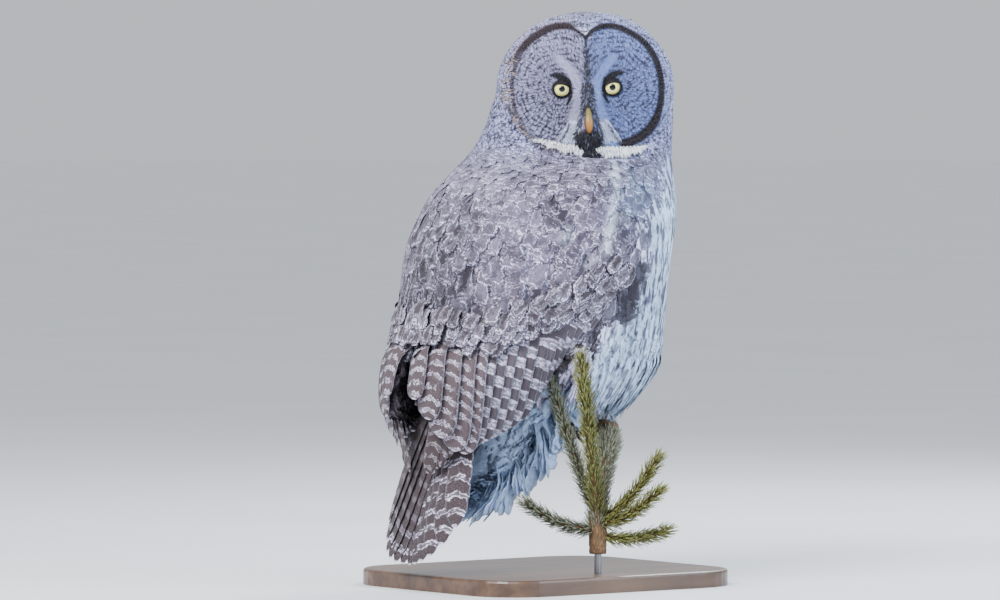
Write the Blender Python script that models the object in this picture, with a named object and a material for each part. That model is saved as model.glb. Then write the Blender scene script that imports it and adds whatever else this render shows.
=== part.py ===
"""A great grey owl, life size, perched on a cut spruce top that a plain display stand holds.

The bird's body faces -Y and its head is turned back over its right shoulder. The origin is on
the underside of the stand's base, right under the perch's stem, and +Z is up. Metres.
"""

import math

import bmesh
import bpy
from mathutils import Matrix, Vector

# Gap that neighbouring solids keep.
GAP = 0.0004

# Body outline, level by level: height, half width, depth in front of and behind the section's
# own middle, and how far that middle lies behind the feet. It includes the plumage.
BODY_STATIONS = (
    (0.206, 0.034, 0.036, 0.044, 0.060),
    (0.213, 0.070, 0.074, 0.078, 0.058),
    (0.226, 0.096, 0.112, 0.100, 0.054),
    (0.250, 0.115, 0.140, 0.120, 0.052),
    (0.288, 0.130, 0.147, 0.140, 0.057),
    (0.330, 0.140, 0.150, 0.150, 0.060),
    (0.372, 0.142, 0.150, 0.150, 0.054),
    (0.405, 0.138, 0.146, 0.146, 0.043),
    (0.435, 0.128, 0.136, 0.138, 0.032),
    (0.462, 0.117, 0.119, 0.122, 0.017),
    (0.486, 0.108, 0.108, 0.110, 0.005),
    (0.510, 0.104, 0.103, 0.104, -0.003),
    (0.535, 0.100, 0.097, 0.100, -0.008),
    (0.562, 0.086, 0.084, 0.086, -0.010),
)
NECK_BASE = 0.435
NECK_TOP = 0.470
BODY_SIDES = 36

# Envelope of the long belly feathers, in the same columns.
FRINGE_STATIONS = (
    (0.190, 0.084, 0.104, 0.100, 0.055),
    (0.206, 0.094, 0.118, 0.110, 0.055),
    (0.226, 0.107, 0.134, 0.118, 0.054),
    (0.250, 0.117, 0.146, 0.126, 0.053),
    (0.288, 0.131, 0.149, 0.142, 0.057),
)
# Belly locks: bearing of the outermost one, number, height of the roots, of the tips, half width.
FRINGE_ROWS = (
    (96.0, 13, 0.262, 0.207, 0.0145),
    (84.0, 10, 0.246, 0.196, 0.0140),
)

# Outer face of the folded wings, in the same five columns.
WING_STATIONS = (
    (0.120, 0.084, 0.150, 0.150, 0.082),
    (0.160, 0.095, 0.160, 0.160, 0.080),
    (0.204, 0.110, 0.176, 0.176, 0.075),
    (0.246, 0.126, 0.174, 0.174, 0.070),
    (0.288, 0.138, 0.162, 0.162, 0.063),
    (0.330, 0.144, 0.153, 0.153, 0.0605),
    (0.372, 0.1445, 0.151, 0.151, 0.054),
    (0.410, 0.138, 0.146, 0.146, 0.042),
    (0.435, 0.129, 0.137, 0.138, 0.032),
)
WING_BED_DEPTH = 0.011

# The photograph's view: its across axis, along which the folded wing's feathers are set out.
VIEW_ACROSS = Vector((-0.6018, -0.7986, 0.0))

# Flight feathers of a folded wing, as the view shows the right one, from the outermost to the
# innermost: where each leaves the coverts and where it ends, as (across, height).
FLIGHT_FROM = ((0.017, 0.318), (-0.005, 0.303), (-0.050, 0.286), (-0.110, 0.264), (-0.150, 0.262))
FLIGHT_TO = ((-0.074, 0.184), (-0.096, 0.166), (-0.128, 0.153), (-0.160, 0.172), (-0.188, 0.214))
FLIGHT_COUNT = 8
FLIGHT_HALF_WIDTH = 0.0155
PRIMARY_TIPS = ((-0.149, 0.146), (-0.161, 0.134), (-0.173, 0.128))
PRIMARY_HALF_WIDTH = 0.011
PAD_DEPTH = 0.0032
PAD_LOW_DEPTH = 0.0080
# Rows of wing coverts: height of their tips, number, length and half width.
COVERT_ROWS = (
    (0.386, 6, 0.038, 0.0185),
    (0.356, 7, 0.038, 0.0180),
    (0.326, 7, 0.038, 0.0170),
)
COVERT_SLANT = 34.0

# Edges of the folded wing: height, then the bearings of its leading and its inner edge, in
# degrees round the body from the breast towards the back.
WING_EDGES = (
    (0.186, 127.0, 160.0),
    (0.204, 119.0, 165.0),
    (0.225, 111.0, 169.0),
    (0.262, 100.0, 175.0),
    (0.283, 94.0, 178.2),
    (0.341, 78.0, 178.8),
    (0.385, 72.0, 178.8),
    (0.434, 84.0, 178.8),
)

# Head: its middle, half width, heights above and below, depths in front and behind.
HEAD_CENTRE = Vector((0.0, -0.0105, 0.5508))
HEAD_BEARING = math.radians(234.0)
FACE_BEARING = 2 * math.pi - HEAD_BEARING
HEAD_ROLL = math.radians(2.0)
HEAD_HALF_WIDTH = 0.0985
HEAD_ABOVE = 0.0832
HEAD_BELOW = 0.125
HEAD_FRONT = 0.083
HEAD_BACK = 0.094
DISC_HALF_WIDTH = 0.0855
DISC_HALF_HEIGHT = 0.0715
DISH_DEPTH = 0.010
EYE_OFFSET = Vector((0.0278, -0.0012, 0.0))
EYE_RADIUS = 0.0112
EYE_OPENING_WIDTH = 0.0172
EYE_OPENING_HEIGHT = 0.0146

# Tail: root, tip, width at the tip.
TAIL_ROOT = Vector((0.0, 0.154, 0.250))
TAIL_TIP = Vector((0.0, 0.236, 0.030))
RECTRIX_TIPS = (
    (0.006, 0.0),
    (0.017, 0.001),
    (0.028, 0.004),
    (0.039, 0.010),
    (0.050, 0.022),
    (0.060, 0.040),
)
RECTRIX_HALF_WIDTH = 0.0150

# Locks of the undertail coverts, on the bird's left: root and tip.
UNDERTAIL_LOCKS = (
    ((0.034, 0.056, 0.222), (0.047, 0.046, 0.186)),
    ((0.037, 0.072, 0.206), (0.050, 0.068, 0.155)),
    ((0.037, 0.094, 0.184), (0.053, 0.094, 0.130)),
    ((0.032, 0.112, 0.160), (0.050, 0.120, 0.106)),
    ((0.026, 0.124, 0.146), (0.041, 0.146, 0.089)),
    ((0.014, 0.130, 0.136), (0.020, 0.158, 0.080)),
    ((0.010, 0.100, 0.160), (0.013, 0.128, 0.103)),
    ((0.018, 0.080, 0.178), (0.024, 0.094, 0.128)),
)

# Feet, perch and stand.
FOOT_SPREAD = 0.034
LIMB_HEIGHT = 0.172
LIMB_RADIUS = 0.0100
WHORL = Vector((-0.1045, 0.0524, 0.074))
# Shoots of the spruce top: start, end, how far the middle bows out, radius at the start.
SHOOTS = (
    ((-0.1045, 0.0524, 0.074), (-0.1450, 0.1070, 0.259), (-0.006, 0.004, 0.0), 0.0042),
    ((-0.1045, 0.0524, 0.078), (-0.0920, 0.1080, 0.231), (-0.004, 0.006, 0.0), 0.0034),
    ((-0.1045, 0.0524, 0.074), (-0.1700, 0.0200, 0.147), (0.0, 0.0, -0.010), 0.0032),
    ((-0.1045, 0.0524, 0.072), (-0.1850, 0.0300, 0.112), (0.0, 0.0, -0.008), 0.0032),
    ((-0.1045, 0.0524, 0.066), (-0.0900, 0.1400, 0.098), (0.0, 0.0, -0.008), 0.0032),
    ((-0.1045, 0.0524, 0.060), (-0.1600, 0.0000, 0.066), (0.0, 0.0, -0.006), 0.0030),
)
BASE_THICKNESS = 0.018
BASE_WIDTH = 0.300
BASE_LENGTH = 0.340
BASE_MIDDLE_Y = 0.045
ROD_RADIUS = 0.004
STEM_FOOT = 0.040

LOOKS = {
    "grey_plumage": ((0.33, 0.31, 0.31), 0.85),
    "pale_plumage": ((0.62, 0.62, 0.64), 0.9),
    "flight_feathers": ((0.22, 0.18, 0.16), 0.75),
    "face": ((0.45, 0.45, 0.48), 0.9),
    "eye": ((0.80, 0.72, 0.12), 0.1),
    "bill": ((0.75, 0.55, 0.20), 0.4),
    "claw": ((0.03, 0.03, 0.03), 0.35),
    "foot": ((0.50, 0.49, 0.48), 0.9),
    "bark": ((0.30, 0.20, 0.13), 0.9),
    "stand": ((0.10, 0.065, 0.04), 0.4),
    "metal": ((0.25, 0.25, 0.26), 0.35),
}


def clear_scene():
    for old in list(bpy.data.objects):
        bpy.data.objects.remove(old)


def material(name):
    colour, roughness = LOOKS[name]
    made = bpy.data.materials.get(name) or bpy.data.materials.new(name)
    made.use_nodes = True
    shader = made.node_tree.nodes["Principled BSDF"]
    shader.inputs["Base Color"].default_value = (*colour, 1.0)
    shader.inputs["Roughness"].default_value = roughness
    shader.inputs["Metallic"].default_value = 1.0 if name == "metal" else 0.0
    return made


def collection(name):
    made = bpy.data.collections.new(name)
    bpy.context.scene.collection.children.link(made)
    return made


def mesh_object(name, points, faces, look, home):
    mesh = bpy.data.meshes.new(name)
    mesh.from_pydata([tuple(p) for p in points], [], faces)
    mesh.update()
    made = bpy.data.objects.new(name, mesh)
    made.data.materials.append(material(look))
    home.objects.link(made)
    return made


def evaluated_mesh(thing):
    bpy.context.view_layer.update()
    graph = bpy.context.evaluated_depsgraph_get()
    return bpy.data.meshes.new_from_object(thing.evaluated_get(graph), depsgraph=graph)


def keep_largest(mesh):
    """Leaves only the closed surface that has the most faces' area."""
    work = bmesh.new()
    work.from_mesh(mesh)
    work.verts.ensure_lookup_table()
    seen, best, best_area = set(), set(), -1.0
    for start in work.verts:
        if start.index in seen:
            continue
        island, front = {start}, [start]
        seen.add(start.index)
        while front:
            here = front.pop()
            for edge in here.link_edges:
                other = edge.other_vert(here)
                if other.index not in seen:
                    seen.add(other.index)
                    island.add(other)
                    front.append(other)
        faces = {face for vert in island for face in vert.link_faces}
        area = sum(face.calc_area() for face in faces)
        if area > best_area:
            best, best_area = island, area
    bmesh.ops.delete(work, geom=[v for v in work.verts if v not in best], context="VERTS")
    work.to_mesh(mesh)
    work.free()


def join_flat_faces(mesh):
    """Joins the flat faces that a union or cut leaves in pieces, and splits them in triangles."""
    work = bmesh.new()
    work.from_mesh(mesh)
    bmesh.ops.dissolve_limit(
        work, angle_limit=math.radians(0.6), verts=work.verts, edges=work.edges
    )
    bmesh.ops.triangulate(work, faces=list(work.faces))
    if all(edge.is_manifold for edge in work.edges):
        work.to_mesh(mesh)
    work.free()


def boolean(target, others, operation, solver="MANIFOLD"):
    """Joins or cuts target with a list of closed mesh objects, applies it and removes them."""
    helpers = collection("helpers")
    for thing in others:
        for home in list(thing.users_collection):
            home.objects.unlink(thing)
        helpers.objects.link(thing)
    modifier = target.modifiers.new("join", "BOOLEAN")
    modifier.operation = operation
    modifier.solver = solver
    modifier.operand_type = "COLLECTION"
    modifier.collection = helpers
    mesh = evaluated_mesh(target)
    target.modifiers.clear()
    target.data = mesh
    keep_largest(mesh)
    join_flat_faces(mesh)
    for thing in others:
        bpy.data.objects.remove(thing)
    bpy.data.collections.remove(helpers)


def cut_by(target, others, gap=GAP):
    """Cuts target back from grown copies of its neighbours, so that they meet face to face."""
    cutters = [grown(other, gap) for other in others]
    cutters += [grown(other, gap * 0.4) for other in others]
    boolean(target, cutters, "DIFFERENCE")


def grown(thing, by):
    """A copy of a closed mesh object with every point moved out by that distance."""
    mesh = evaluated_mesh(thing)
    mesh.transform(thing.matrix_world)
    work = bmesh.new()
    work.from_mesh(mesh)
    work.normal_update()
    moves = [(vert, vert.normal * by / max(0.5, vert.calc_shell_factor())) for vert in work.verts]
    for vert, move in moves:
        vert.co += move
    work.to_mesh(mesh)
    work.free()
    made = bpy.data.objects.new(thing.name + "_grown", mesh)
    bpy.context.scene.collection.objects.link(made)
    return made


def shade(thing, angle=40.0):
    thing.data.shade_smooth()
    thing.data.set_sharp_from_angle(angle=math.radians(angle))


def smooth_value(rows, at):
    """Reads rows of (key, values...) at a key, along a smooth curve through them."""
    at = min(max(at, rows[0][0]), rows[-1][0])
    high = next(i for i in range(1, len(rows)) if at <= rows[i][0] + 1e-12)
    low = high - 1
    before, after = max(0, low - 1), min(len(rows) - 1, high + 1)
    span = rows[high][0] - rows[low][0]
    t = (at - rows[low][0]) / span
    values = []
    for column in range(1, len(rows[0])):
        first, second = rows[low][column], rows[high][column]
        slope_in = (second - rows[before][column]) / (rows[high][0] - rows[before][0])
        slope_out = (rows[after][column] - first) / (rows[after][0] - rows[low][0])
        values.append(
            (2 * t**3 - 3 * t**2 + 1) * first
            + (t**3 - 2 * t**2 + t) * slope_in * span
            + (3 * t**2 - 2 * t**3) * second
            + (t**3 - t**2) * slope_out * span
        )
    return values


def eased(low, high, at):
    t = min(1.0, max(0.0, (at - low) / (high - low)))
    return t * t * (3 - 2 * t)


def ring_point(stations, bearing, height, out=0.0):
    """A point of an outline at a bearing in radians from the breast towards the bird's right."""
    half_width, front, back, middle = smooth_value(stations, height)
    depth = front if math.cos(bearing) > 0 else back
    across, along = math.sin(bearing), math.cos(bearing)
    length = math.hypot(across / half_width, along / depth)
    outward = Vector((-across / half_width, -along / depth, 0)) / length
    return Vector((-half_width * across, middle - depth * along, height)) + outward * out


def wing_edges(height):
    return smooth_value(WING_EDGES, height)


def wing_bed(bearing, height):
    """How deep the torso is let in under the folded wing, from 0 to 1."""
    if height < WING_EDGES[0][0]:
        return 0.0
    lead, inner = wing_edges(height)
    degrees = abs(math.degrees(bearing))
    across = eased(lead - 8, lead + 2, degrees) * (1 - eased(inner + 1, inner + 8, degrees))
    return across


def drape(stations, point, out):
    """Moves a point to an outline's surface, at its own height and bearing, raised by out."""
    middle = smooth_value(stations, point.z)[3]
    bearing = math.atan2(-point.x, middle - point.y)
    return ring_point(stations, bearing, point.z, out)


def surface_normal(stations, point):
    """The outward direction of an outline's surface near a point."""
    middle = smooth_value(stations, point.z)[3]
    bearing = math.atan2(-point.x, middle - point.y)
    around = ring_point(stations, bearing + 0.02, point.z) - ring_point(stations, bearing - 0.02, point.z)
    upward = ring_point(stations, bearing, point.z + 0.004) - ring_point(stations, bearing, point.z - 0.004)
    return upward.cross(around).normalized()


def seen_bearing(across, height, low=40.0, high=181.0):
    """The bearing on the folded right wing that the view shows at a distance across it."""
    for _ in range(30):
        middle = (low + high) / 2
        here = ring_point(WING_STATIONS, math.radians(middle), height).dot(VIEW_ACROSS)
        low, high = (middle, high) if here > across else (low, middle)
    return math.radians(low)


def along_points(points, share):
    """A place along a list of pairs, at a share of its length in steps."""
    at = share * (len(points) - 1)
    index = min(int(at), len(points) - 2)
    t = at - index
    return tuple(a + (b - a) * t for a, b in zip(points[index], points[index + 1]))


VANE_SHAPE = ((0.0, 0.50), (0.30, 0.86), (0.72, 1.0), (0.92, 0.72), (1.0, 0.20))
SMALL_VANE = ((0.0, 0.66), (0.70, 1.0), (1.0, 0.42))
LOCK_SHAPE = ((0.0, 0.80), (0.40, 1.0), (0.75, 0.70), (1.0, 0.14))


def vane(path, half_width, normals, thickness, shape=VANE_SHAPE, tilt=0.0):
    """A thin closed blade along a path of points: tapered, and rolled by tilt about its shaft."""
    points, faces = [], []
    count = len(path) - 1
    for share, wide in shape:
        at = share * count
        index = min(int(at), count - 1)
        t = at - index
        centre = path[index].lerp(path[index + 1], t)
        ahead = (path[index + 1] - path[index]).normalized()
        normal = normals[index].lerp(normals[index + 1], t)
        across = ahead.cross(normal).normalized()
        normal = across.cross(ahead).normalized()
        turned = across * math.cos(tilt) + normal * math.sin(tilt)
        upright = normal * math.cos(tilt) - across * math.sin(tilt)
        reach = turned * half_width * wide
        deep = upright * thickness * 0.5 * (1.0 if share < 0.95 else 0.6)
        points += [centre - reach + deep, centre + reach + deep]
        points += [centre + reach - deep, centre - reach - deep]
    for level in range(len(shape) - 1):
        for side in range(4):
            a, b = level * 4 + side, level * 4 + (side + 1) % 4
            if side == 0:
                faces += [(a, b, b + 4), (a, b + 4, a + 4)]
            elif side == 2:
                faces += [(a, b, a + 4), (b, b + 4, a + 4)]
            else:
                faces += [(a, b, b + 4), (a, b + 4, a + 4)]
    last = len(points) - 4
    faces += [(3, 2, 0), (2, 1, 0), (last, last + 1, last + 3), (last + 1, last + 2, last + 3)]
    made = mesh_object("vane", points, faces, "grey_plumage", bpy.context.scene.collection)
    work = bmesh.new()
    work.from_mesh(made.data)
    bmesh.ops.recalc_face_normals(work, faces=work.faces)
    work.to_mesh(made.data)
    work.free()
    return made


def surface_vane(stations, start, end, half_width, sink, rise, thickness=0.0008, **options):
    """A vane over an outline's surface from one point to another, its root sunk into it."""
    path, normals = [], []
    for step in range(6):
        share = step / 5
        out = -sink + (rise + sink) * eased(0.0, 0.45, share)
        point = drape(stations, start.lerp(end, share), out)
        path.append(point)
        normals.append(surface_normal(stations, point))
    return vane(path, half_width, normals, thickness, **options)


def mirrored(things):
    """Mirror images of mesh objects in the bird's middle plane."""
    made = []
    for thing in things:
        mesh = thing.data.copy()
        mesh.transform(Matrix.Diagonal((-1, 1, 1, 1)))
        mesh.flip_normals()
        other = bpy.data.objects.new(thing.name, mesh)
        bpy.context.scene.collection.objects.link(other)
        made.append(other)
    return made


def loft(name, rings, look, home):
    """A closed solid through rings of as many points each, capped with a point at either end."""
    sides = len(rings[0])
    points = [p for ring in rings for p in ring]
    faces = []
    for level in range(len(rings) - 1):
        for side in range(sides):
            a = level * sides + side
            b = level * sides + (side + 1) % sides
            faces.append((a, b, b + sides, a + sides))
    for start, forward in ((0, False), ((len(rings) - 1) * sides, True)):
        ring = points[start : start + sides]
        points.append(sum((Vector(p) for p in ring), Vector()) / sides)
        tip = len(points) - 1
        for side in range(sides):
            a, b = start + side, start + (side + 1) % sides
            faces.append((a, b, tip) if forward else (b, a, tip))
    made = mesh_object(name, points, faces, look, home)
    work = bmesh.new()
    work.from_mesh(made.data)
    bmesh.ops.triangulate(work, faces=list(work.faces))
    bmesh.ops.recalc_face_normals(work, faces=work.faces)
    work.to_mesh(made.data)
    work.free()
    return made


def bearings(count):
    return [2 * math.pi * i / count for i in range(count)]


def signed(bearing):
    return bearing - 2 * math.pi if bearing > math.pi else bearing


def body_ring(height, pull_in=0.0):
    points = []
    for bearing in bearings(BODY_SIDES):
        inset = pull_in + WING_BED_DEPTH * wing_bed(signed(bearing), height)
        points.append(ring_point(BODY_STATIONS, bearing, height, -inset))
    return points


def torso(home):
    heights = [0.206, 0.210, 0.217, 0.229, 0.245, 0.266, 0.294, 0.325, 0.358, 0.388, 0.414]
    heights += [NECK_BASE - GAP / 2]
    made = loft("torso", [body_ring(h) for h in heights], "pale_plumage", home)
    locks = []
    for row, (outermost, count, root, tip, wide) in enumerate(FRINGE_ROWS):
        for number in range(count):
            bearing = math.radians(outermost * (2 * number / (count - 1) - 1))
            sway = 0.06 * math.sin(7.1 * number)
            start = ring_point(FRINGE_STATIONS, bearing, root)
            low = tip + 0.005 * math.sin(4.3 * number) + 0.010 * abs(bearing / 1.5) ** 3
            end = ring_point(FRINGE_STATIONS, bearing + sway, low)
            locks.append(surface_vane(
                FRINGE_STATIONS, start, end, wide, 0.012, -0.001 - 0.006 * row, 0.0014, shape=LOCK_SHAPE
            ))
    boolean(made, locks, "UNION")
    return made


def neck(home):
    heights = [NECK_BASE + GAP / 2, 0.446, 0.458, NECK_TOP - GAP / 2]
    return loft("neck", [collar_ring(h) for h in heights], "grey_plumage", home)


def collar_ring(height):
    """A ring of the neck, drawn in under the face so that the chin stands clear of it."""
    points = []
    for bearing in bearings(BODY_SIDES):
        from_face = math.degrees(math.atan2(
            math.sin(bearing - FACE_BEARING), math.cos(bearing - FACE_BEARING)
        ))
        under_face = math.exp(-((from_face / 52.0) ** 4))
        inset = 0.048 * under_face * eased(0.458, 0.505, height)
        points.append(ring_point(BODY_STATIONS, bearing, height, -inset))
    return points


def head_matrix():
    """From the head's own axes (right as seen from in front, up, forward) to the world."""
    forward = Vector((math.sin(HEAD_BEARING), -math.cos(HEAD_BEARING), 0))
    right = Vector((math.cos(HEAD_BEARING), math.sin(HEAD_BEARING), 0))
    up = Vector((0, 0, 1))
    turn = Matrix((right, up, forward)).transposed().to_4x4()
    return Matrix.Translation(HEAD_CENTRE) @ turn @ Matrix.Rotation(HEAD_ROLL, 4, "Z")


def dish(x, y):
    """Depth of the facial disc's two bowls and of the rim round them, at a place on the face."""
    half = abs(x)
    across = (half - 0.036) / (DISC_HALF_WIDTH - 0.036 if half > 0.036 else 0.042)
    radius = math.hypot(across, (y - 0.002) / (DISC_HALF_HEIGHT * 0.98))
    bowl = DISH_DEPTH * max(0.0, 1 - radius**2) ** 0.8
    rim = 0.0035 * math.exp(-(((radius - 1.02) / 0.075) ** 2))
    brow = 0.004 * math.exp(-((half / 0.012) ** 2)) * eased(-0.075, -0.02, y)
    lobe = 0.0065 * math.exp(-(((half - 0.013) / 0.010) ** 2) - ((y + 0.045) / 0.015) ** 2)
    return bowl - rim - lobe - brow * (1 - eased(0.02, 0.06, y))


def head_point(turn, polar):
    """A point of the head at an angle round the face's axis and an angle away from it."""
    right, up = math.cos(turn), math.sin(turn)
    tall = HEAD_ABOVE if up > 0 else HEAD_BELOW
    reach = 1 / math.hypot(right / HEAD_HALF_WIDTH, up / tall)
    in_front = math.cos(polar) > 0
    power = 2 / 2.7 if in_front else 2 / 2.1
    radial = reach * abs(math.sin(polar)) ** power
    deep = abs(math.cos(polar)) ** power
    forward = HEAD_FRONT * deep if in_front else -HEAD_BACK * deep
    x, y = right * radial, up * radial
    return Vector((x, y, forward - (dish(x, y) if in_front else 0.0)))


def face_depth(x, y):
    """How far forward the face lies at a place on it."""
    share = math.hypot(x / HEAD_HALF_WIDTH, y / (HEAD_ABOVE if y > 0 else HEAD_BELOW))
    polar = math.asin(min(1.0, share) ** (2.7 / 2))
    return HEAD_FRONT * math.cos(polar) ** (2 / 2.7) - dish(x, y)


def ball(name, centre, radius, look, home, segments=24, rings=14):
    bpy.ops.mesh.primitive_uv_sphere_add(segments=segments, ring_count=rings, radius=radius)
    made = bpy.context.object
    made.name = name
    for old in list(made.users_collection):
        old.objects.unlink(made)
    home.objects.link(made)
    made.data.transform(Matrix.Translation(centre))
    made.data.materials.append(material(look))
    return made


def eye_centre(side):
    """Middle of an eyeball in the head's axes. Side is 1 for the eye on the face's right."""
    x, y = side * EYE_OFFSET.x, EYE_OFFSET.y
    return Vector((x, y, face_depth(x, y) - EYE_RADIUS * 0.62))


def almond(side):
    """A cutter in the shape of the opening between the lids, running forward from the eye."""
    centre = eye_centre(side)
    rings = []
    for forward in (0.0, 0.030):
        ring = []
        for step in range(16):
            angle = 2 * math.pi * step / 16
            inner = 1.12 if math.cos(angle) * side < 0 else 1.0
            width = EYE_OPENING_WIDTH / 2 * math.cos(angle) * inner
            height = EYE_OPENING_HEIGHT / 2 * math.sin(angle) * abs(math.sin(angle)) ** 0.15
            flare = 1 + forward * 4
            ring.append(centre + Vector((width * flare, height * flare, forward)))
        rings.append(ring)
    return loft("almond", rings, "face", bpy.context.scene.collection)


def bow_tie():
    """The white feather locks that stand out below the chin, to either side of it."""
    made = []
    for side in (-1, 1):
        for number in range(4):
            start = Vector((side * (0.010 + 0.0085 * number), -0.056 + 0.0015 * number, 0.0))
            end = start + Vector((side * (0.006 + 0.0035 * number), -0.015 + 0.0022 * number, 0.0))
            start.z = face_depth(start.x, start.y) - 0.006
            end.z = face_depth(end.x, end.y) + 0.0045
            middle = start.lerp(end, 0.5) + Vector((0, 0, 0.004))
            normal = Vector((side * 0.15, 0.45, 1.0)).normalized()
            made.append(vane([start, middle, end], 0.0070, [normal] * 3, 0.0022, LOCK_SHAPE))
    return made


def head(home):
    turns = bearings(44)
    polars = [7, 15, 23, 31, 38, 45, 51, 56, 61, 66, 71, 77, 85, 95, 107, 121, 137, 156]
    rings = [[head_point(t, math.radians(p)) for t in turns] for p in polars]
    made = loft("head", rings, "face", home)
    lids = bow_tie()
    for side in (-1, 1):
        lids.append(ball("lid", eye_centre(side), EYE_RADIUS + 0.0018, "face", home, 18, 10))
    boolean(made, lids, "UNION")
    sockets = []
    for side in (-1, 1):
        sockets.append(almond(side))
        sockets.append(ball("socket", eye_centre(side), EYE_RADIUS + GAP, "face", home, 18, 12))
    boolean(made, sockets, "DIFFERENCE")
    made.data.transform(head_matrix())
    heights = [0.466, 0.482, 0.500, 0.518, 0.538, 0.560]
    collar = loft("collar", [collar_ring(h) for h in heights], "face", home)
    boolean(made, [collar], "UNION")
    cut_flat(made, NECK_TOP + GAP / 2)
    return made


def cut_flat(thing, height):
    """Cuts off what lies below a height, and closes the cut."""
    work = bmesh.new()
    work.from_mesh(thing.data)
    geometry = list(work.verts) + list(work.edges) + list(work.faces)
    bmesh.ops.bisect_plane(
        work,
        geom=geometry,
        dist=1e-7,
        plane_co=(0, 0, height),
        plane_no=(0, 0, 1),
        clear_inner=True,
    )
    bmesh.ops.holes_fill(work, edges=[e for e in work.edges if e.is_boundary], sides=0)
    bmesh.ops.triangulate(work, faces=[f for f in work.faces if len(f.verts) > 4])
    work.to_mesh(thing.data)
    work.free()


def eyes(home):
    made = []
    for side, name in ((-1, "eye_left"), (1, "eye_right")):
        thing = ball(name, eye_centre(-side), EYE_RADIUS, "eye", home, 14, 9)
        thing.data.transform(head_matrix())
        made.append(thing)
    return made


def tapered(name, path, sizes, look, home, sides=10, side_axis=Vector((1, 0, 0))):
    """A tube along a path whose oval section changes: sizes are half widths and half depths."""
    rings = []
    for i, centre in enumerate(path):
        ahead = path[min(i + 1, len(path) - 1)] - path[max(i - 1, 0)]
        ahead.normalize()
        across = (side_axis - ahead * side_axis.dot(ahead)).normalized()
        normal = ahead.cross(across)
        wide, deep = sizes[i]
        ring = []
        for step in range(sides):
            angle = 2 * math.pi * step / sides
            ring.append(centre + across * wide * math.cos(angle) + normal * deep * math.sin(angle))
        rings.append(ring)
    return loft(name, rings, look, home)


def bill(head_node, home):
    front = face_depth(0.0, -0.03)
    upper_path = [
        Vector((0, -0.0230, front - 0.010)),
        Vector((0, -0.0262, front + 0.0020)),
        Vector((0, -0.0310, front + 0.0085)),
        Vector((0, -0.0370, front + 0.0115)),
        Vector((0, -0.0430, front + 0.0110)),
        Vector((0, -0.0480, front + 0.0085)),
        Vector((0, -0.0510, front + 0.0060)),
    ]
    upper_sizes = [(0.0052, 0.006), (0.0056, 0.0062), (0.0052, 0.006), (0.0045, 0.0052)]
    upper_sizes += [(0.0034, 0.0040), (0.0019, 0.0022), (0.0004, 0.0005)]
    lower_path = [
        Vector((0, -0.0400, front - 0.012)),
        Vector((0, -0.0425, front - 0.002)),
        Vector((0, -0.0455, front + 0.0040)),
    ]
    lower_sizes = [(0.0042, 0.0022), (0.0036, 0.0020), (0.0008, 0.0006)]
    upper = tapered("bill_upper", upper_path, upper_sizes, "bill", home, 12)
    lower = tapered("bill_lower", lower_path, lower_sizes, "bill", home, 8)
    nostrils = []
    for side in (-1, 1):
        place = Vector((side * 0.0044, -0.0290, front + 0.0078))
        nostrils.append(ball("nostril", place, 0.0013, "bill", home, 8, 6))
    boolean(upper, nostrils, "DIFFERENCE")
    for thing in (upper, lower):
        thing.data.transform(head_matrix())
    cut_by(lower, [upper])
    cut_by(upper, [head_node])
    cut_by(lower, [head_node])
    return [upper, lower]


def wing_pad(home):
    """The flesh and small coverts of the folded right wing: a curved pad laid on the torso."""
    heights = [row[0] for row in WING_EDGES]
    levels = 9
    columns = 8
    outer, inner = [], []
    for level in range(levels + 1):
        height = heights[0] + (heights[-1] - heights[0]) * level / levels
        lead, back = wing_edges(height)
        for column in range(columns + 1):
            share = column / columns
            bearing = math.radians(lead + (back - lead) * share)
            edge = min(1.0, share * 5, (1 - share) * 7, level / levels * 6)
            skin = PAD_DEPTH * (1 - eased(0.395, 0.430, height))
            skin += (PAD_LOW_DEPTH - PAD_DEPTH) * (1 - eased(0.262, 0.305, height))
            outer.append(ring_point(WING_STATIONS, bearing, height, -skin - 0.0025 * (1 - edge)))
            inner.append(ring_point(WING_STATIONS, bearing, height, -skin - 0.004 - 0.010 * edge))
    across = columns + 1
    count = len(outer)
    faces = []
    for level in range(levels):
        for column in range(columns):
            a = level * across + column
            faces.append((a, a + 1, a + across + 1, a + across))
            b = a + count
            faces.append((b, b + across, b + across + 1, b + 1))
    rim = [c for c in range(across)]
    rim += [r * across + columns for r in range(1, levels + 1)]
    rim += [levels * across + c for c in range(columns - 1, -1, -1)]
    rim += [r * across for r in range(levels - 1, 0, -1)]
    for i, a in enumerate(rim):
        b = rim[(i + 1) % len(rim)]
        faces.append((b, a, a + count, b + count))
    made = mesh_object("wing_right", outer + inner, faces, "grey_plumage", home)
    work = bmesh.new()
    work.from_mesh(made.data)
    bmesh.ops.triangulate(work, faces=list(work.faces))
    bmesh.ops.recalc_face_normals(work, faces=work.faces)
    work.to_mesh(made.data)
    work.free()
    return made


def seen_point(place):
    across, height = place
    return ring_point(WING_STATIONS, seen_bearing(across, height), height)


def flight_feathers():
    made = []
    for number in range(FLIGHT_COUNT):
        share = number / (FLIGHT_COUNT - 1)
        start = seen_point(along_points(FLIGHT_FROM, share))
        end = seen_point(along_points(FLIGHT_TO, share))
        start = start + (start - end).normalized() * 0.022
        made.append(surface_vane(
            WING_STATIONS, start, end, FLIGHT_HALF_WIDTH, 0.0120, -0.0035, 0.0008, tilt=-0.13
        ))
    for number, place in enumerate(PRIMARY_TIPS):
        end = seen_point(place)
        start = seen_point((place[0] + 0.012 + 0.010 * number, 0.235))
        made.append(surface_vane(
            WING_STATIONS, start, end, PRIMARY_HALF_WIDTH, 0.0130, -0.0085 - 0.0012 * number, 0.0009
        ))
    return made


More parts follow.
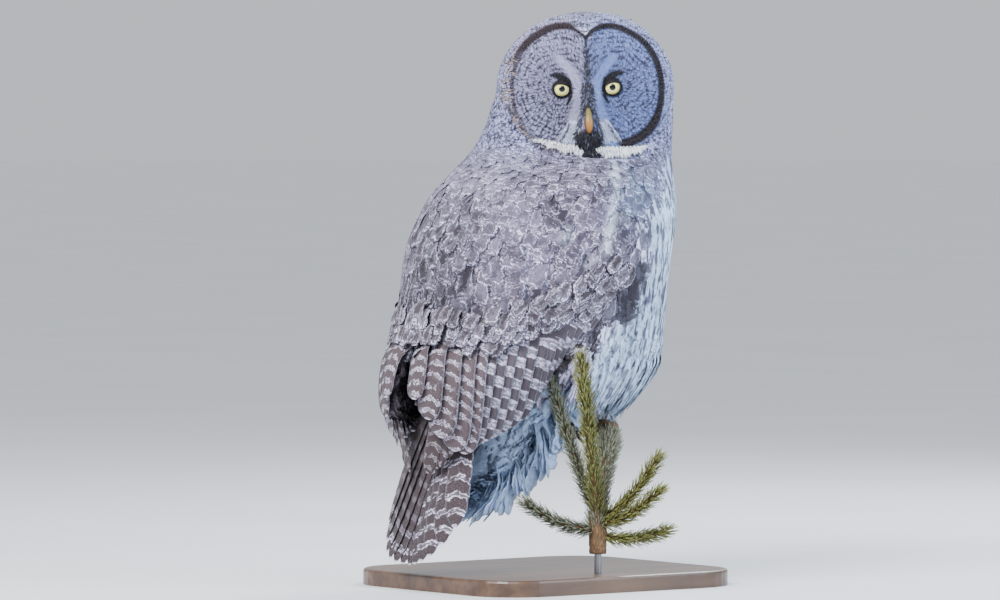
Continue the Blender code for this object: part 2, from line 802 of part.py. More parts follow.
def wing_coverts():
    """Rows of coverts and shoulder feathers, each row over the roots of the row below it."""
    made = []
    for number in range(8):
        share = (number + 0.5) / 8
        edge = along_points(FLIGHT_FROM, share)
        tip_place = along_points(FLIGHT_TO, share)
        end = seen_point([at + (tip - at) * 0.10 for at, tip in zip(edge, tip_place)])
        start = seen_point(edge)
        start = start + (start - end).normalized() * 0.032
        made.append(surface_vane(
            WING_STATIONS, start, end, 0.0145, 0.0090, 0.0006, 0.0008, shape=SMALL_VANE, tilt=-0.07
        ))
    for row, (height, count, length, wide) in enumerate(COVERT_ROWS):
        lead, back = wing_edges(height)
        for number in range(count):
            share = (number + 0.5 + 0.25 * (row % 2)) / (count + 0.25)
            bearing = math.radians(lead + 4 + (back - lead - 5) * share)
            root = ring_point(WING_STATIONS, bearing, height + length)
            slant = math.radians((1 - share) * COVERT_SLANT)
            low = ring_point(WING_STATIONS, bearing + slant * length / 0.13, height)
            made.append(surface_vane(
                WING_STATIONS, root, low, wide, 0.0070, -0.0002, 0.0008, shape=SMALL_VANE
            ))
    return made


def wings(home, neighbours):
    """The right wing, kept to its own side of the middle plane, and its mirror image."""
    wing = wing_pad(home)
    bpy.ops.mesh.primitive_cube_add(size=1.0, location=(0.5 - GAP, 0, 0.3))
    far_side = bpy.context.object
    bpy.ops.object.transform_apply(location=True)
    boolean(wing, flight_feathers() + wing_coverts(), "UNION")
    boolean(wing, [far_side], "DIFFERENCE")
    cut_by(wing, neighbours)
    other = mirrored([wing])[0]
    bpy.context.scene.collection.objects.unlink(other)
    home.objects.link(other)
    other.name = "wing_left"
    return [wing, other]


def tail_point(across, share, lift=0.0):
    """A place on the arched upper side of the tail, at a share of its length from its root."""
    along = (TAIL_TIP - TAIL_ROOT).normalized()
    normal = along.cross(Vector((1, 0, 0))).normalized()
    centre = TAIL_ROOT.lerp(TAIL_TIP, share)
    arch = 0.014 * (max(0.0, abs(across) - 0.022) / 0.038) ** 1.6
    return centre + Vector((across, -arch, 0)) + normal * lift


def tail(home, neighbours):
    made = []
    for side in (-1, 1):
        for number, (across, short) in enumerate(RECTRIX_TIPS):
            reach = 1.0 - short / (TAIL_ROOT.z - TAIL_TIP.z)
            path, normals = [], []
            for step in range(6):
                share = step / 5
                place = side * across * (0.42 + 0.58 * share)
                lift = -0.00115 * (2 * number + (side > 0))
                path.append(tail_point(place, share * reach, lift))
                low = tail_point(place - 0.002, share * reach)
                high = tail_point(place + 0.002, share * reach)
                ahead = (TAIL_TIP - TAIL_ROOT).normalized()
                normals.append(ahead.cross(high - low).normalized())
            made.append(vane(path, RECTRIX_HALF_WIDTH, normals, 0.0008))
    root = tapered(
        "tail",
        [tail_point(0, s, -0.0065) for s in (-0.02, 0.10, 0.20, 0.28)],
        [(0.022, 0.0090), (0.026, 0.0085), (0.026, 0.0070), (0.018, 0.0030)],
        "flight_feathers",
        home,
        14,
    )
    boolean(root, made, "UNION")
    cut_by(root, neighbours)
    return root


def undertail(home, neighbours):
    """The fluffy coverts from the vent to the underside of the tail, with ragged tips."""
    path = [
        Vector((0, 0.080, 0.224)),
        Vector((0, 0.095, 0.196)),
        Vector((0, 0.116, 0.160)),
        Vector((0, 0.138, 0.126)),
        Vector((0, 0.153, 0.104)),
    ]
    sizes = [(0.056, 0.046), (0.055, 0.040), (0.049, 0.030), (0.038, 0.017), (0.014, 0.005)]
    made = tapered("undertail_coverts", path, sizes, "pale_plumage", home, 20)
    locks = []
    for side in (-1, 1):
        for root, tip in UNDERTAIL_LOCKS:
            start = Vector((side * root[0], root[1], root[2]))
            end = Vector((side * tip[0], tip[1], tip[2]))
            bow = Vector((side * (0.25 + 14 * root[0]), -0.45, -0.25)).normalized()
            points, normals = [], []
            for step in range(5):
                share = step / 4
                points.append(start.lerp(end, share) + bow * 0.010 * math.sin(math.pi * share))
                normals.append(bow)
            locks.append(vane(points, 0.0125, normals, 0.0016, LOCK_SHAPE))
    boolean(made, locks, "UNION")
    cut_by(made, neighbours)
    return made


def legs(home, neighbours):
    made = []
    for side, name in ((-1, "leg_right"), (1, "leg_left")):
        path = [
            Vector((side * 0.046, 0.030, 0.236)),
            Vector((side * 0.043, 0.020, 0.222)),
            Vector((side * 0.038, 0.008, 0.208)),
            Vector((side * FOOT_SPREAD, 0.001, 0.1995)),
        ]
        sizes = [(0.034, 0.036), (0.028, 0.030), (0.018, 0.019), (0.0115, 0.0120)]
        thing = tapered(name, path, sizes, "foot", home, 14)
        cut_by(thing, neighbours)
        made.append(thing)
    return made


def toe_path(side, turn, spread, reach):
    """Points over the limb and down round it, for a toe that leaves the foot at a turn."""
    points = []
    radius = LIMB_RADIUS + 0.0066 + GAP
    forward = -1 if abs(turn) < 90 else 1
    for step in range(5):
        share = step / 4
        angle = math.radians(8 + reach * share)
        x = side * FOOT_SPREAD + spread * (0.25 + 0.75 * share)
        y = forward * radius * math.sin(angle)
        z = LIMB_HEIGHT + radius * math.cos(angle)
        points.append(Vector((x, y, z)))
    return points


TOES = ((0, -0.0120, 112), (0, 0.0124, 109), (180, -0.0110, 101), (180, 0.0113, 98))


def feet(home):
    made = []
    for side, name in ((-1, "foot_right"), (1, "foot_left")):
        centre = Vector((side * FOOT_SPREAD, 0, LIMB_HEIGHT + LIMB_RADIUS + 0.0085))
        foot = ball(name, Vector((0, 0, 0)), 1.0, "foot", home, 12, 7)
        foot.data.transform(Matrix.Translation(centre) @ Matrix.Diagonal((0.0125, 0.0125, 0.0078, 1)))
        toes = []
        for turn, spread, reach in TOES:
            path = toe_path(side, turn, spread, reach)
            sizes = [(0.0062, 0.0062), (0.0061, 0.0061), (0.0058, 0.0058), (0.0052, 0.0052)]
            sizes += [(0.0036, 0.0036)]
            toes.append(tapered("toe", path, sizes, "foot", home, 6))
        boolean(foot, toes, "UNION")
        made.append(foot)
    return made


def claws(home, foot_nodes):
    made = []
    for side, foot, word in ((-1, foot_nodes[0], "right"), (1, foot_nodes[1], "left")):
        for number, (turn, spread, reach) in enumerate(TOES, 1):
            forward = -1 if turn < 90 else 1
            radius = LIMB_RADIUS + 0.0066 + GAP
            path, sizes = [], []
            for step in range(6):
                share = step / 5
                angle = math.radians(8 + reach - 10 + 62 * share)
                x = side * FOOT_SPREAD + spread
                y = forward * (radius + 0.0005 * share) * math.sin(angle)
                z = LIMB_HEIGHT + (radius + 0.0005 * share) * math.cos(angle)
                path.append(Vector((x, y, z)))
                wide = 0.0026 * (1 - share) ** 0.7 + 0.0004
                sizes.append((wide, wide * 1.15))
            thing = tapered(f"claw_{word}_{number}", path, sizes, "claw", home, 6)
            cut_by(thing, [foot])
            made.append(thing)
    return made


def tube(name, points, radii, look, home, sides=12):
    """A curve with a round section and filled ends, whose radius changes from point to point."""
    curve = bpy.data.curves.new(name, "CURVE")
    curve.dimensions = "3D"
    curve.bevel_depth = 1.0
    curve.bevel_resolution = sides // 2 - 2
    curve.use_fill_caps = True
    line = curve.splines.new("POLY")
    line.points.add(len(points) - 1)
    for spot, place, radius in zip(line.points, points, radii):
        spot.co = (*place, 1.0)
        spot.radius = radius
    drawn = bpy.data.objects.new(name + "_curve", curve)
    bpy.context.scene.collection.objects.link(drawn)
    mesh = evaluated_mesh(drawn)
    bpy.data.objects.remove(drawn)
    work = bmesh.new()
    work.from_mesh(mesh)
    bmesh.ops.remove_doubles(work, verts=work.verts, dist=1e-5)
    bmesh.ops.triangulate(work, faces=list(work.faces))
    bmesh.ops.recalc_face_normals(work, faces=work.faces)
    work.to_mesh(mesh)
    work.free()
    made = bpy.data.objects.new(name, mesh)
    mesh.materials.clear()
    mesh.materials.append(material(look))
    home.objects.link(made)
    return made


def perch(home):
    """The cut top of a young spruce: stem, the limb that the bird grips, and its shoots."""
    whorl = Vector((WHORL.x, WHORL.y, WHORL.z))
    stem = [
        Vector((whorl.x, whorl.y, STEM_FOOT)),
        whorl,
        Vector((whorl.x + 0.002, whorl.y - 0.004, 0.112)),
        Vector((whorl.x + 0.010, whorl.y - 0.018, 0.142)),
        Vector((whorl.x + 0.026, whorl.y - 0.036, 0.162)),
        Vector((-0.056, 0.003, LIMB_HEIGHT)),
        Vector((-0.030, 0.0, LIMB_HEIGHT)),
    ]
    bent = [0.0095, 0.0095, 0.0090, 0.0092, 0.0100, 0.0110, 0.0090]
    limb = [Vector((-0.062 + 0.034 * i, 0.0, LIMB_HEIGHT)) for i in range(5)]
    thick = [LIMB_RADIUS - 0.0002 - 0.0003 * i for i in range(5)]
    made = tube("perch_branch", limb, thick, "bark", home, 14)
    pieces = [tube("stem", stem, bent, "bark", home, 12)]
    for start, end, bow, radius in SHOOTS:
        path = []
        for step in range(5):
            share = step / 4
            point = Vector(start).lerp(Vector(end), share)
            path.append(point + Vector(bow) * math.sin(math.pi * share))
        sizes = [radius * (1 - 0.5 * step / 4) for step in range(5)]
        pieces.append(tube("shoot", path, sizes, "bark", home, 6))
    boolean(made, pieces, "UNION")
    return made


def stand(home):
    corner = 0.060
    curve = bpy.data.curves.new("base_outline", "CURVE")
    curve.dimensions = "2D"
    curve.fill_mode = "BOTH"
    curve.extrude = BASE_THICKNESS / 2
    outline = curve.splines.new("POLY")
    points = []
    for turn in range(4):
        sx = 1 if turn in (0, 3) else -1
        sy = 1 if turn in (0, 1) else -1
        for step in range(9):
            angle = math.pi / 2 * (turn + step / 8)
            x = sx * (BASE_WIDTH / 2 - corner) + corner * math.cos(angle)
            y = sy * (BASE_LENGTH / 2 - corner) + corner * math.sin(angle)
            points.append((x, y + BASE_MIDDLE_Y))
    outline.points.add(len(points) - 1)
    for point, (x, y) in zip(outline.points, points):
        point.co = (x, y, 0, 1)
    outline.use_cyclic_u = True
    drawn = bpy.data.objects.new("base_curve", curve)
    bpy.context.scene.collection.objects.link(drawn)
    drawn.location.z = BASE_THICKNESS / 2
    mesh = evaluated_mesh(drawn)
    mesh.transform(drawn.matrix_world)
    bpy.data.objects.remove(drawn)
    work = bmesh.new()
    work.from_mesh(mesh)
    bmesh.ops.remove_doubles(work, verts=work.verts, dist=1e-5)
    bmesh.ops.dissolve_limit(
        work, angle_limit=0.01, verts=work.verts, edges=work.edges, use_dissolve_boundaries=False
    )
    top = [
        e
        for e in work.edges
        if all(v.co.z > BASE_THICKNESS - 1e-5 for v in e.verts)
        and any(abs(f.normal.z) < 0.5 for f in e.link_faces)
    ]
    bmesh.ops.bevel(work, geom=top, offset=0.003, segments=2, affect="EDGES", profile=0.5)
    bmesh.ops.recalc_face_normals(work, faces=work.faces)
    work.to_mesh(mesh)
    work.free()
    base = bpy.data.objects.new("stand_base", mesh)
    base.data.materials.clear()
    base.data.materials.append(material("stand"))
    home.objects.link(base)
    x, y = WHORL.x, WHORL.y
    bottom, top_z = BASE_THICKNESS + GAP, STEM_FOOT - GAP
    bpy.ops.mesh.primitive_cylinder_add(
        vertices=24, radius=ROD_RADIUS, depth=top_z - bottom, location=(0, 0, 0)
    )
    rod = bpy.context.object
    rod.name = "stand_rod"
    for old in list(rod.users_collection):
        old.objects.unlink(rod)
    home.objects.link(rod)
    rod.data.transform(Matrix.Translation((x, y, (bottom + top_z) / 2)))
    rod.data.materials.append(material("metal"))
    return [base, rod]


def main():
    clear_scene()
    home = collection("great_grey_owl")
    body = torso(home)
    neck_node = neck(home)
    head_node = head(home)
    eyes(home)
    bill(head_node, home)
    wings(home, [body, neck_node])
    tail_node = tail(home, [body])
    vent = undertail(home, [body, tail_node])
    foot_nodes = feet(home)
    leg_nodes = legs(home, [body, vent, *foot_nodes])
    del leg_nodes
    claws(home, foot_nodes)
    perch(home)
    stand(home)
    for thing in home.objects:
        shade(thing)


main()
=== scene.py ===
"""Looks of the great grey owl: its skin and feathers, face, eyes, bill and claws, and the perch.

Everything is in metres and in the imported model's frame: the body faces -Y, +Z is up, and the head
is turned back over the bird's right shoulder. Sizes that the solids already fix are repeated here
by name. Feathers are thin closed blades, made in arrays and joined into a few coat pieces.
"""

import math

import bmesh
import bpy
import numpy as np
from mathutils import Matrix, Vector
from mathutils.bvhtree import BVHTree
from mathutils.kdtree import KDTree


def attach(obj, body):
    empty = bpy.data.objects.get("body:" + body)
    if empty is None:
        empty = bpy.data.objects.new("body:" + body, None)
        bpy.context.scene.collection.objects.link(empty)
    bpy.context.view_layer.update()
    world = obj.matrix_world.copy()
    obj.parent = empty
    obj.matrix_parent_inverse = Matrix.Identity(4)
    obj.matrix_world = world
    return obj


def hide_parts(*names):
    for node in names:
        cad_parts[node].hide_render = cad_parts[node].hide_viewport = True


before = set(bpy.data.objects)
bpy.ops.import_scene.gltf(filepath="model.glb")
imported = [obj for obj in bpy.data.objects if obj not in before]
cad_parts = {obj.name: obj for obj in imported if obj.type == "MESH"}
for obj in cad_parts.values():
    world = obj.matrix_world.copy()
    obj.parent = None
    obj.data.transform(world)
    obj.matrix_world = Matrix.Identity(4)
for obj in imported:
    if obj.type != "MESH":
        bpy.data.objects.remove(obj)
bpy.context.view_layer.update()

# Outlines of the bird, as the solids have them: height, half width, depth in front and behind,
# and how far the section's middle lies behind the feet.
BODY_STATIONS = (
    (0.206, 0.034, 0.036, 0.044, 0.060),
    (0.213, 0.070, 0.074, 0.078, 0.058),
    (0.226, 0.096, 0.112, 0.100, 0.054),
    (0.250, 0.115, 0.140, 0.120, 0.052),
    (0.288, 0.130, 0.147, 0.140, 0.057),
    (0.330, 0.140, 0.150, 0.150, 0.060),
    (0.372, 0.142, 0.150, 0.150, 0.054),
    (0.405, 0.138, 0.146, 0.146, 0.043),
    (0.435, 0.128, 0.136, 0.138, 0.032),
    (0.462, 0.117, 0.119, 0.122, 0.017),
    (0.486, 0.108, 0.108, 0.110, 0.005),
    (0.510, 0.104, 0.103, 0.104, -0.003),
    (0.535, 0.100, 0.097, 0.100, -0.008),
    (0.562, 0.086, 0.084, 0.086, -0.010),
)
FRINGE_STATIONS = (
    (0.190, 0.084, 0.104, 0.100, 0.055),
    (0.206, 0.094, 0.118, 0.110, 0.055),
    (0.226, 0.107, 0.134, 0.118, 0.054),
    (0.250, 0.117, 0.146, 0.126, 0.053),
    (0.288, 0.131, 0.149, 0.142, 0.057),
)
WING_STATIONS = (
    (0.120, 0.084, 0.150, 0.150, 0.082),
    (0.160, 0.095, 0.160, 0.160, 0.080),
    (0.204, 0.110, 0.176, 0.176, 0.075),
    (0.246, 0.126, 0.174, 0.174, 0.070),
    (0.288, 0.138, 0.162, 0.162, 0.063),
    (0.330, 0.144, 0.153, 0.153, 0.0605),
    (0.372, 0.1445, 0.151, 0.151, 0.054),
    (0.410, 0.138, 0.146, 0.146, 0.042),
    (0.435, 0.129, 0.137, 0.138, 0.032),
)
# Folded wing: height, bearing of its leading edge and of its inner edge, in degrees.
WING_EDGES = (
    (0.186, 127.0, 160.0),
    (0.204, 119.0, 165.0),
    (0.225, 111.0, 169.0),
    (0.262, 100.0, 175.0),
    (0.283, 94.0, 178.2),
    (0.341, 78.0, 178.8),
    (0.385, 72.0, 178.8),
    (0.434, 84.0, 178.8),
)
VIEW_ACROSS = np.array((-0.6018, -0.7986, 0.0))
VIEW_BACK = np.array((-0.7986, 0.6018, 0.0))
# Flight feathers as the view shows them: where they leave the coverts and where they end.
PRIMARY_TIPS = ((-0.149, 0.146), (-0.161, 0.134), (-0.173, 0.128))

HEAD_CENTRE = np.array((0.0, -0.0105, 0.5508))
HEAD_BEARING = math.radians(234.0)
FACE_BEARING = 2 * math.pi - HEAD_BEARING
HEAD_ROLL = math.radians(2.0)
HEAD_HALF_WIDTH = 0.0985
HEAD_ABOVE = 0.0832
HEAD_BELOW = 0.125
HEAD_FRONT = 0.083
HEAD_BACK = 0.094
DISC_HALF_WIDTH = 0.0855
DISC_HALF_HEIGHT = 0.0715
DISH_DEPTH = 0.010
EYE_X = 0.0278
EYE_Y = -0.0012
EYE_RADIUS = 0.0112
EYE_SETBACK = 0.62

TAIL_ROOT = np.array((0.0, 0.154, 0.250))
TAIL_TIP = np.array((0.0, 0.236, 0.030))
RECTRIX_TIPS = (
    (0.006, 0.0),
    (0.017, 0.001),
    (0.028, 0.004),
    (0.039, 0.010),
    (0.050, 0.022),
    (0.060, 0.040),
)
UNDERTAIL_PATH = np.array((
    (0, 0.080, 0.224),
    (0, 0.095, 0.196),
    (0, 0.116, 0.160),
    (0, 0.138, 0.126),
    (0, 0.153, 0.104),
))
UNDERTAIL_SIZES = ((0.056, 0.046), (0.055, 0.040), (0.049, 0.030), (0.038, 0.017), (0.014, 0.005))
UNDERTAIL_LOCKS = (
    ((0.034, 0.056, 0.222), (0.047, 0.046, 0.186)),
    ((0.037, 0.072, 0.206), (0.050, 0.068, 0.155)),
    ((0.037, 0.094, 0.184), (0.053, 0.094, 0.130)),
    ((0.032, 0.112, 0.160), (0.050, 0.120, 0.106)),
    ((0.026, 0.124, 0.146), (0.041, 0.146, 0.089)),
    ((0.014, 0.130, 0.136), (0.020, 0.158, 0.080)),
    ((0.010, 0.100, 0.160), (0.013, 0.128, 0.103)),
    ((0.018, 0.080, 0.178), (0.024, 0.094, 0.128)),
)

FOOT_SPREAD = 0.034
LIMB_HEIGHT = 0.172
LIMB_RADIUS = 0.0100
TOES = ((0, -0.0120, 112), (0, 0.0124, 109), (180, -0.0110, 101), (180, 0.0113, 98))
# Side shoots of the spruce: foot, tip, bow in the middle and radius at the foot.
SHOOTS = (
    ((-0.1045, 0.0524, 0.074), (-0.1450, 0.1070, 0.259), (-0.006, 0.004, 0.0), 0.0042),
    ((-0.1045, 0.0524, 0.078), (-0.0920, 0.1080, 0.231), (-0.004, 0.006, 0.0), 0.0034),
    ((-0.1045, 0.0524, 0.074), (-0.1700, 0.0200, 0.147), (0.0, 0.0, -0.010), 0.0032),
    ((-0.1045, 0.0524, 0.072), (-0.1850, 0.0300, 0.112), (0.0, 0.0, -0.008), 0.0032),
    ((-0.1045, 0.0524, 0.066), (-0.0900, 0.1400, 0.098), (0.0, 0.0, -0.008), 0.0032),
    ((-0.1045, 0.0524, 0.060), (-0.1600, 0.0000, 0.066), (0.0, 0.0, -0.006), 0.0030),
)
STEM_PATH = (
    (-0.1045, 0.0524, 0.040),
    (-0.1045, 0.0524, 0.074),
    (-0.1025, 0.0484, 0.112),
    (-0.0945, 0.0344, 0.142),
    (-0.0785, 0.0164, 0.162),
    (-0.0560, 0.0030, 0.172),
    (-0.0300, 0.0000, 0.172),
)

# Plumage colours, linear: pale parts, mid greys and the brown of the markings. The blue in the pale colours is
# a painted cast of the cool shade light over the grey plumage.
SNOW = (0.80, 0.88, 1.0)
INK = (0.008, 0.007, 0.010)


# Small helpers

def unit(v):
    return v / np.maximum(np.linalg.norm(v, axis=-1, keepdims=True), 1e-12)


def eased(low, high, at):
    t = np.clip((at - low) / (high - low), 0.0, 1.0)
    return t * t * (3 - 2 * t)


def lerp(a, b, t):
    return a + (b - a) * t


def blend_colour(first, second, share):
    share = np.asarray(share)[..., None]
    return np.asarray(first) * (1 - share) + np.asarray(second) * share


def patchy(points, size, seed):
    """Slow random variation over the body, from 0 to 1, in patches of about a given size."""
    draw = np.random.default_rng(seed)
    waves = draw.normal(0, 1, (9, 3)) * (2.4 / size)
    return 0.5 + 0.5 * np.sin(points @ waves.T + draw.uniform(0, 6.28, 9)).sum(-1) / 3.4


def smooth_values(rows, at):
    """Reads rows of (key, values...) at many keys, along smooth curves through them."""
    rows = np.array(rows)
    keys = rows[:, 0]
    at = np.clip(np.asarray(at, float), keys[0], keys[-1])
    high = np.clip(np.searchsorted(keys, at), 1, len(keys) - 1)
    low = high - 1
    before, after = np.maximum(low - 1, 0), np.minimum(low + 2, len(keys) - 1)
    span = (keys[high] - keys[low])[..., None]
    t = ((at - keys[low]) / (keys[high] - keys[low]))[..., None]
    first, second = rows[low, 1:], rows[high, 1:]
    slope_in = (second - rows[before, 1:]) / (keys[high] - keys[before])[..., None]
    slope_out = (rows[after, 1:] - first) / (keys[after] - keys[low])[..., None]
    made = (2 * t**3 - 3 * t**2 + 1) * first + (3 * t**2 - 2 * t**3) * second
    return made + ((t**3 - 2 * t**2 + t) * slope_in + (t**3 - t**2) * slope_out) * span


def ring_points(stations, bearing, height, out=0.0):
    """Points of an outline, at bearings in radians from the breast towards the bird's right."""
    bearing, height = np.broadcast_arrays(np.asarray(bearing, float), np.asarray(height, float))
    half_width, front, back, middle = np.moveaxis(smooth_values(stations, height), -1, 0)
    depth = np.where(np.cos(bearing) > 0, front, back)
    across, along = np.sin(bearing), np.cos(bearing)
    length = np.hypot(across / half_width, along / depth)
    x = -half_width * across - across / half_width / length * out
    y = middle - depth * along - along / depth / length * out
    return np.stack((x, y, height), -1)


def bearings_of(stations, points):
    middle = smooth_values(stations, points[..., 2])[..., 3]
    return np.arctan2(-points[..., 0], middle - points[..., 1])


def outline_normals(stations, points):
    bearing, height = bearings_of(stations, points), points[..., 2]
    around = ring_points(stations, bearing + 0.02, height) - ring_points(stations, bearing - 0.02, height)
    upward = ring_points(stations, bearing, height + 0.004) - ring_points(stations, bearing, height - 0.004)
    return unit(np.cross(upward, around))


def seen_bearing(across, height):
    """The bearing on the folded right wing that the view shows at a distance across it."""
    low, high = 40.0, 181.0
    for _ in range(30):
        middle = (low + high) / 2
        here = ring_points(WING_STATIONS, math.radians(middle), height) @ VIEW_ACROSS
        low, high = (middle, high) if here > across else (low, middle)
    return math.radians(low)


def seen_point(across, height):
    return ring_points(WING_STATIONS, seen_bearing(across, height), height)


# The head's shape, in its own axes: right as seen from in front, up, forward

def head_matrix():
    forward = Vector((math.sin(HEAD_BEARING), -math.cos(HEAD_BEARING), 0))
    right = Vector((math.cos(HEAD_BEARING), math.sin(HEAD_BEARING), 0))
    turn = Matrix((right, Vector((0, 0, 1)), forward)).transposed().to_4x4()
    return Matrix.Translation(HEAD_CENTRE) @ turn @ Matrix.Rotation(HEAD_ROLL, 4, "Z")


HEAD = np.array(head_matrix())


def from_head(points):
    return points @ HEAD[:3, :3].T + HEAD[:3, 3]


def to_head(points):
    return (points - HEAD[:3, 3]) @ HEAD[:3, :3]


def disc_radius(x, y):
    """How far out on the facial disc a place lies: 0 in its bowls and 1 at its edge."""
    half = np.abs(x)
    across = (half - 0.036) / np.where(half > 0.036, DISC_HALF_WIDTH - 0.036, 0.042)
    return np.hypot(across, (y - 0.002) / (DISC_HALF_HEIGHT * 0.98))


def dish(x, y):
    half = np.abs(x)
    radius = disc_radius(x, y)
    bowl = DISH_DEPTH * np.maximum(0.0, 1 - radius**2) ** 0.8
    rim = 0.0035 * np.exp(-(((radius - 1.02) / 0.075) ** 2))
    brow = 0.004 * np.exp(-((half / 0.012) ** 2)) * eased(-0.075, -0.02, y)
    lobe = 0.0065 * np.exp(-(((half - 0.013) / 0.010) ** 2) - ((y + 0.045) / 0.015) ** 2)
    return bowl - rim - lobe - brow * (1 - eased(0.02, 0.06, y))


def head_points(turn, polar):
    right, up = np.cos(turn), np.sin(turn)
    tall = np.where(up > 0, HEAD_ABOVE, HEAD_BELOW)
    reach = 1 / np.hypot(right / HEAD_HALF_WIDTH, up / tall)
    in_front = np.cos(polar) > 0
    power = np.where(in_front, 2 / 2.7, 2 / 2.1)
    radial = reach * np.abs(np.sin(polar)) ** power
    deep = np.abs(np.cos(polar)) ** power
    x, y = right * radial, up * radial
    forward = np.where(in_front, HEAD_FRONT * deep - dish(x, y), -HEAD_BACK * deep)
    return np.stack((x, y, forward), -1)


def face_depth(x, y):
    share = np.hypot(x / HEAD_HALF_WIDTH, y / np.where(y > 0, HEAD_ABOVE, HEAD_BELOW))
    polar = np.arcsin(np.minimum(0.999, share) ** (2.7 / 2))
    return HEAD_FRONT * np.cos(polar) ** (2 / 2.7) - dish(x, y)


def face_points(x, y, out=0.0):
    """Places on the face, moved out along its normal, and that normal, in the head's axes."""
    step = 0.0008
    slope_x = (face_depth(x + step, y) - face_depth(x - step, y)) / (2 * step)
    slope_y = (face_depth(x, y + step) - face_depth(x, y - step)) / (2 * step)
    normal = unit(np.stack((-slope_x, -slope_y, np.ones_like(x)), -1))
    place = np.stack((x, y, face_depth(x, y)), -1)
    return place + normal * np.asarray(out)[..., None], normal


def eye_centre(side):
    return np.array((side * EYE_X, EYE_Y, face_depth(EYE_X, EYE_Y) - EYE_RADIUS * EYE_SETBACK))


# Meshes

def new_object(name, points, faces):
    mesh = bpy.data.meshes.new(name)
    mesh.from_pydata(points, [], faces)
    mesh.update()
    made = bpy.data.objects.new(name, mesh)
    bpy.context.scene.collection.objects.link(made)
    mesh.shade_smooth()
    return made


def loft(rings):
    """Vertices and faces of a closed form through rings, with a point in the middle of each end."""
    rings = np.asarray(rings)
    levels, sides = rings.shape[:2]
    points = np.concatenate((rings.reshape(-1, 3), rings[:1].mean(1), rings[-1:].mean(1)))
    faces = []
    for level in range(levels - 1):
        for side in range(sides):
            a, b = level * sides + side, level * sides + (side + 1) % sides
            faces.append((a, b, b + sides, a + sides))
    first, last = levels * sides, levels * sides + 1
    for side in range(sides):
        a, b = side, (side + 1) % sides
        faces.append((b, a, first))
        faces.append((a + (levels - 1) * sides, b + (levels - 1) * sides, last))
    return points, faces


def tapered(path, sizes, sides=16, side_axis=(1, 0, 0)):
    """Rings along a path, with half widths and half depths."""
    path, sizes = np.asarray(path, float), np.asarray(sizes, float)
    ahead = unit(np.gradient(path, axis=0))
    axis = np.array(side_axis, float)
    across = unit(axis - ahead * (ahead @ axis)[:, None])
    normal = np.cross(ahead, across)
    angle = 2 * math.pi * np.arange(sides) / sides
    wide = across[:, None] * (sizes[:, :1] * np.cos(angle))[..., None]
    deep = normal[:, None] * (sizes[:, 1:] * np.sin(angle))[..., None]
    return path[:, None] + wide + deep


def resampled(rows, count):
    """More rows, along a smooth curve through the given ones."""
    rows = np.asarray(rows, float)
    keyed = np.column_stack((np.linspace(0, 1, len(rows)), rows))
    return smooth_values(keyed, np.linspace(0, 1, count))


def joined(parts):
    points, faces, offset = [], [], 0
    for some, more in parts:
        points.append(some)
        faces += [tuple(i + offset for i in face) for face in more]
        offset += len(some)
    return np.concatenate(points), faces


def body_loft():
    bearing = 2 * math.pi * np.arange(96) / 96
    heights = np.concatenate((np.linspace(0.206, 0.23, 8), np.linspace(0.24, 0.556, 40)))
    from_face = np.degrees(np.angle(np.exp(1j * (bearing - FACE_BEARING))))
    under_face = np.exp(-((from_face / 50.0) ** 4))
    inset = 0.049 * under_face[None] * eased(0.440, 0.490, heights)[:, None]
    return loft(ring_points(BODY_STATIONS, bearing[None], heights[:, None], -inset))


def head_loft():
    turns = 2 * math.pi * np.arange(120) / 120
    polars = np.radians(np.concatenate((np.linspace(3, 80, 56), np.linspace(84, 172, 24))))
    return loft(from_head(head_points(turns[None], polars[:, None])))


def wing_loft(side):
    """The folded wing's bed of small coverts, under its flight feathers."""
    rings = []
    for height in np.linspace(0.188, 0.430, 26):
        lead, inner = smooth_values(WING_EDGES, height)
        share = np.linspace(0, 1, 20)
        bearing = np.radians(lerp(lead, inner, share))
        edge = np.minimum(1.0, np.minimum(share * 6, (1 - share) * 8))
        depth = lerp(0.0072, 0.0018, eased(0.262, 0.315, height))
        outer = ring_points(WING_STATIONS, bearing, height, -depth - 0.003 * (1 - edge))
        inner_face = ring_points(WING_STATIONS, bearing[::-1], height, -depth - 0.004 - 0.012 * edge[::-1])
        rings.append(np.concatenate((outer, inner_face)))
    rings = np.array(rings)
    if side > 0:
        rings = rings[:, ::-1] * (-1, 1, 1)
    return loft(rings)


def limb_lofts():
    made = []
    for side in (-1, 1):
        path = [(side * 0.046, 0.030, 0.236), (side * 0.043, 0.020, 0.222)]
        path += [(side * 0.038, 0.008, 0.208), (side * FOOT_SPREAD, 0.001, 0.1965)]
        sizes = [(0.034, 0.036), (0.028, 0.030), (0.018, 0.019), (0.0125, 0.0130)]
        made.append(loft(tapered(resampled(path, 10), resampled(sizes, 10), 24)))
        for turn, spread, reach in TOES:
            made.append(loft(toe_rings(side, turn, spread, reach)))
    return made


def toe_rings(side, turn, spread, reach):
    radius = LIMB_RADIUS + 0.0062
    share = np.linspace(0, 1, 10)
    angle = np.radians(-6 + (reach + 14) * share)
    forward = -1 if turn < 90 else 1
    x = side * FOOT_SPREAD + spread * eased(-0.2, 0.7, share)
    path = np.stack((x, forward * radius * np.sin(angle), LIMB_HEIGHT + radius * np.cos(angle)), -1)
    thick = np.interp(share, (0, 0.4, 0.8, 1), (0.0066, 0.0062, 0.0054, 0.0030))
    return tapered(path, np.column_stack((thick, thick)), 14)


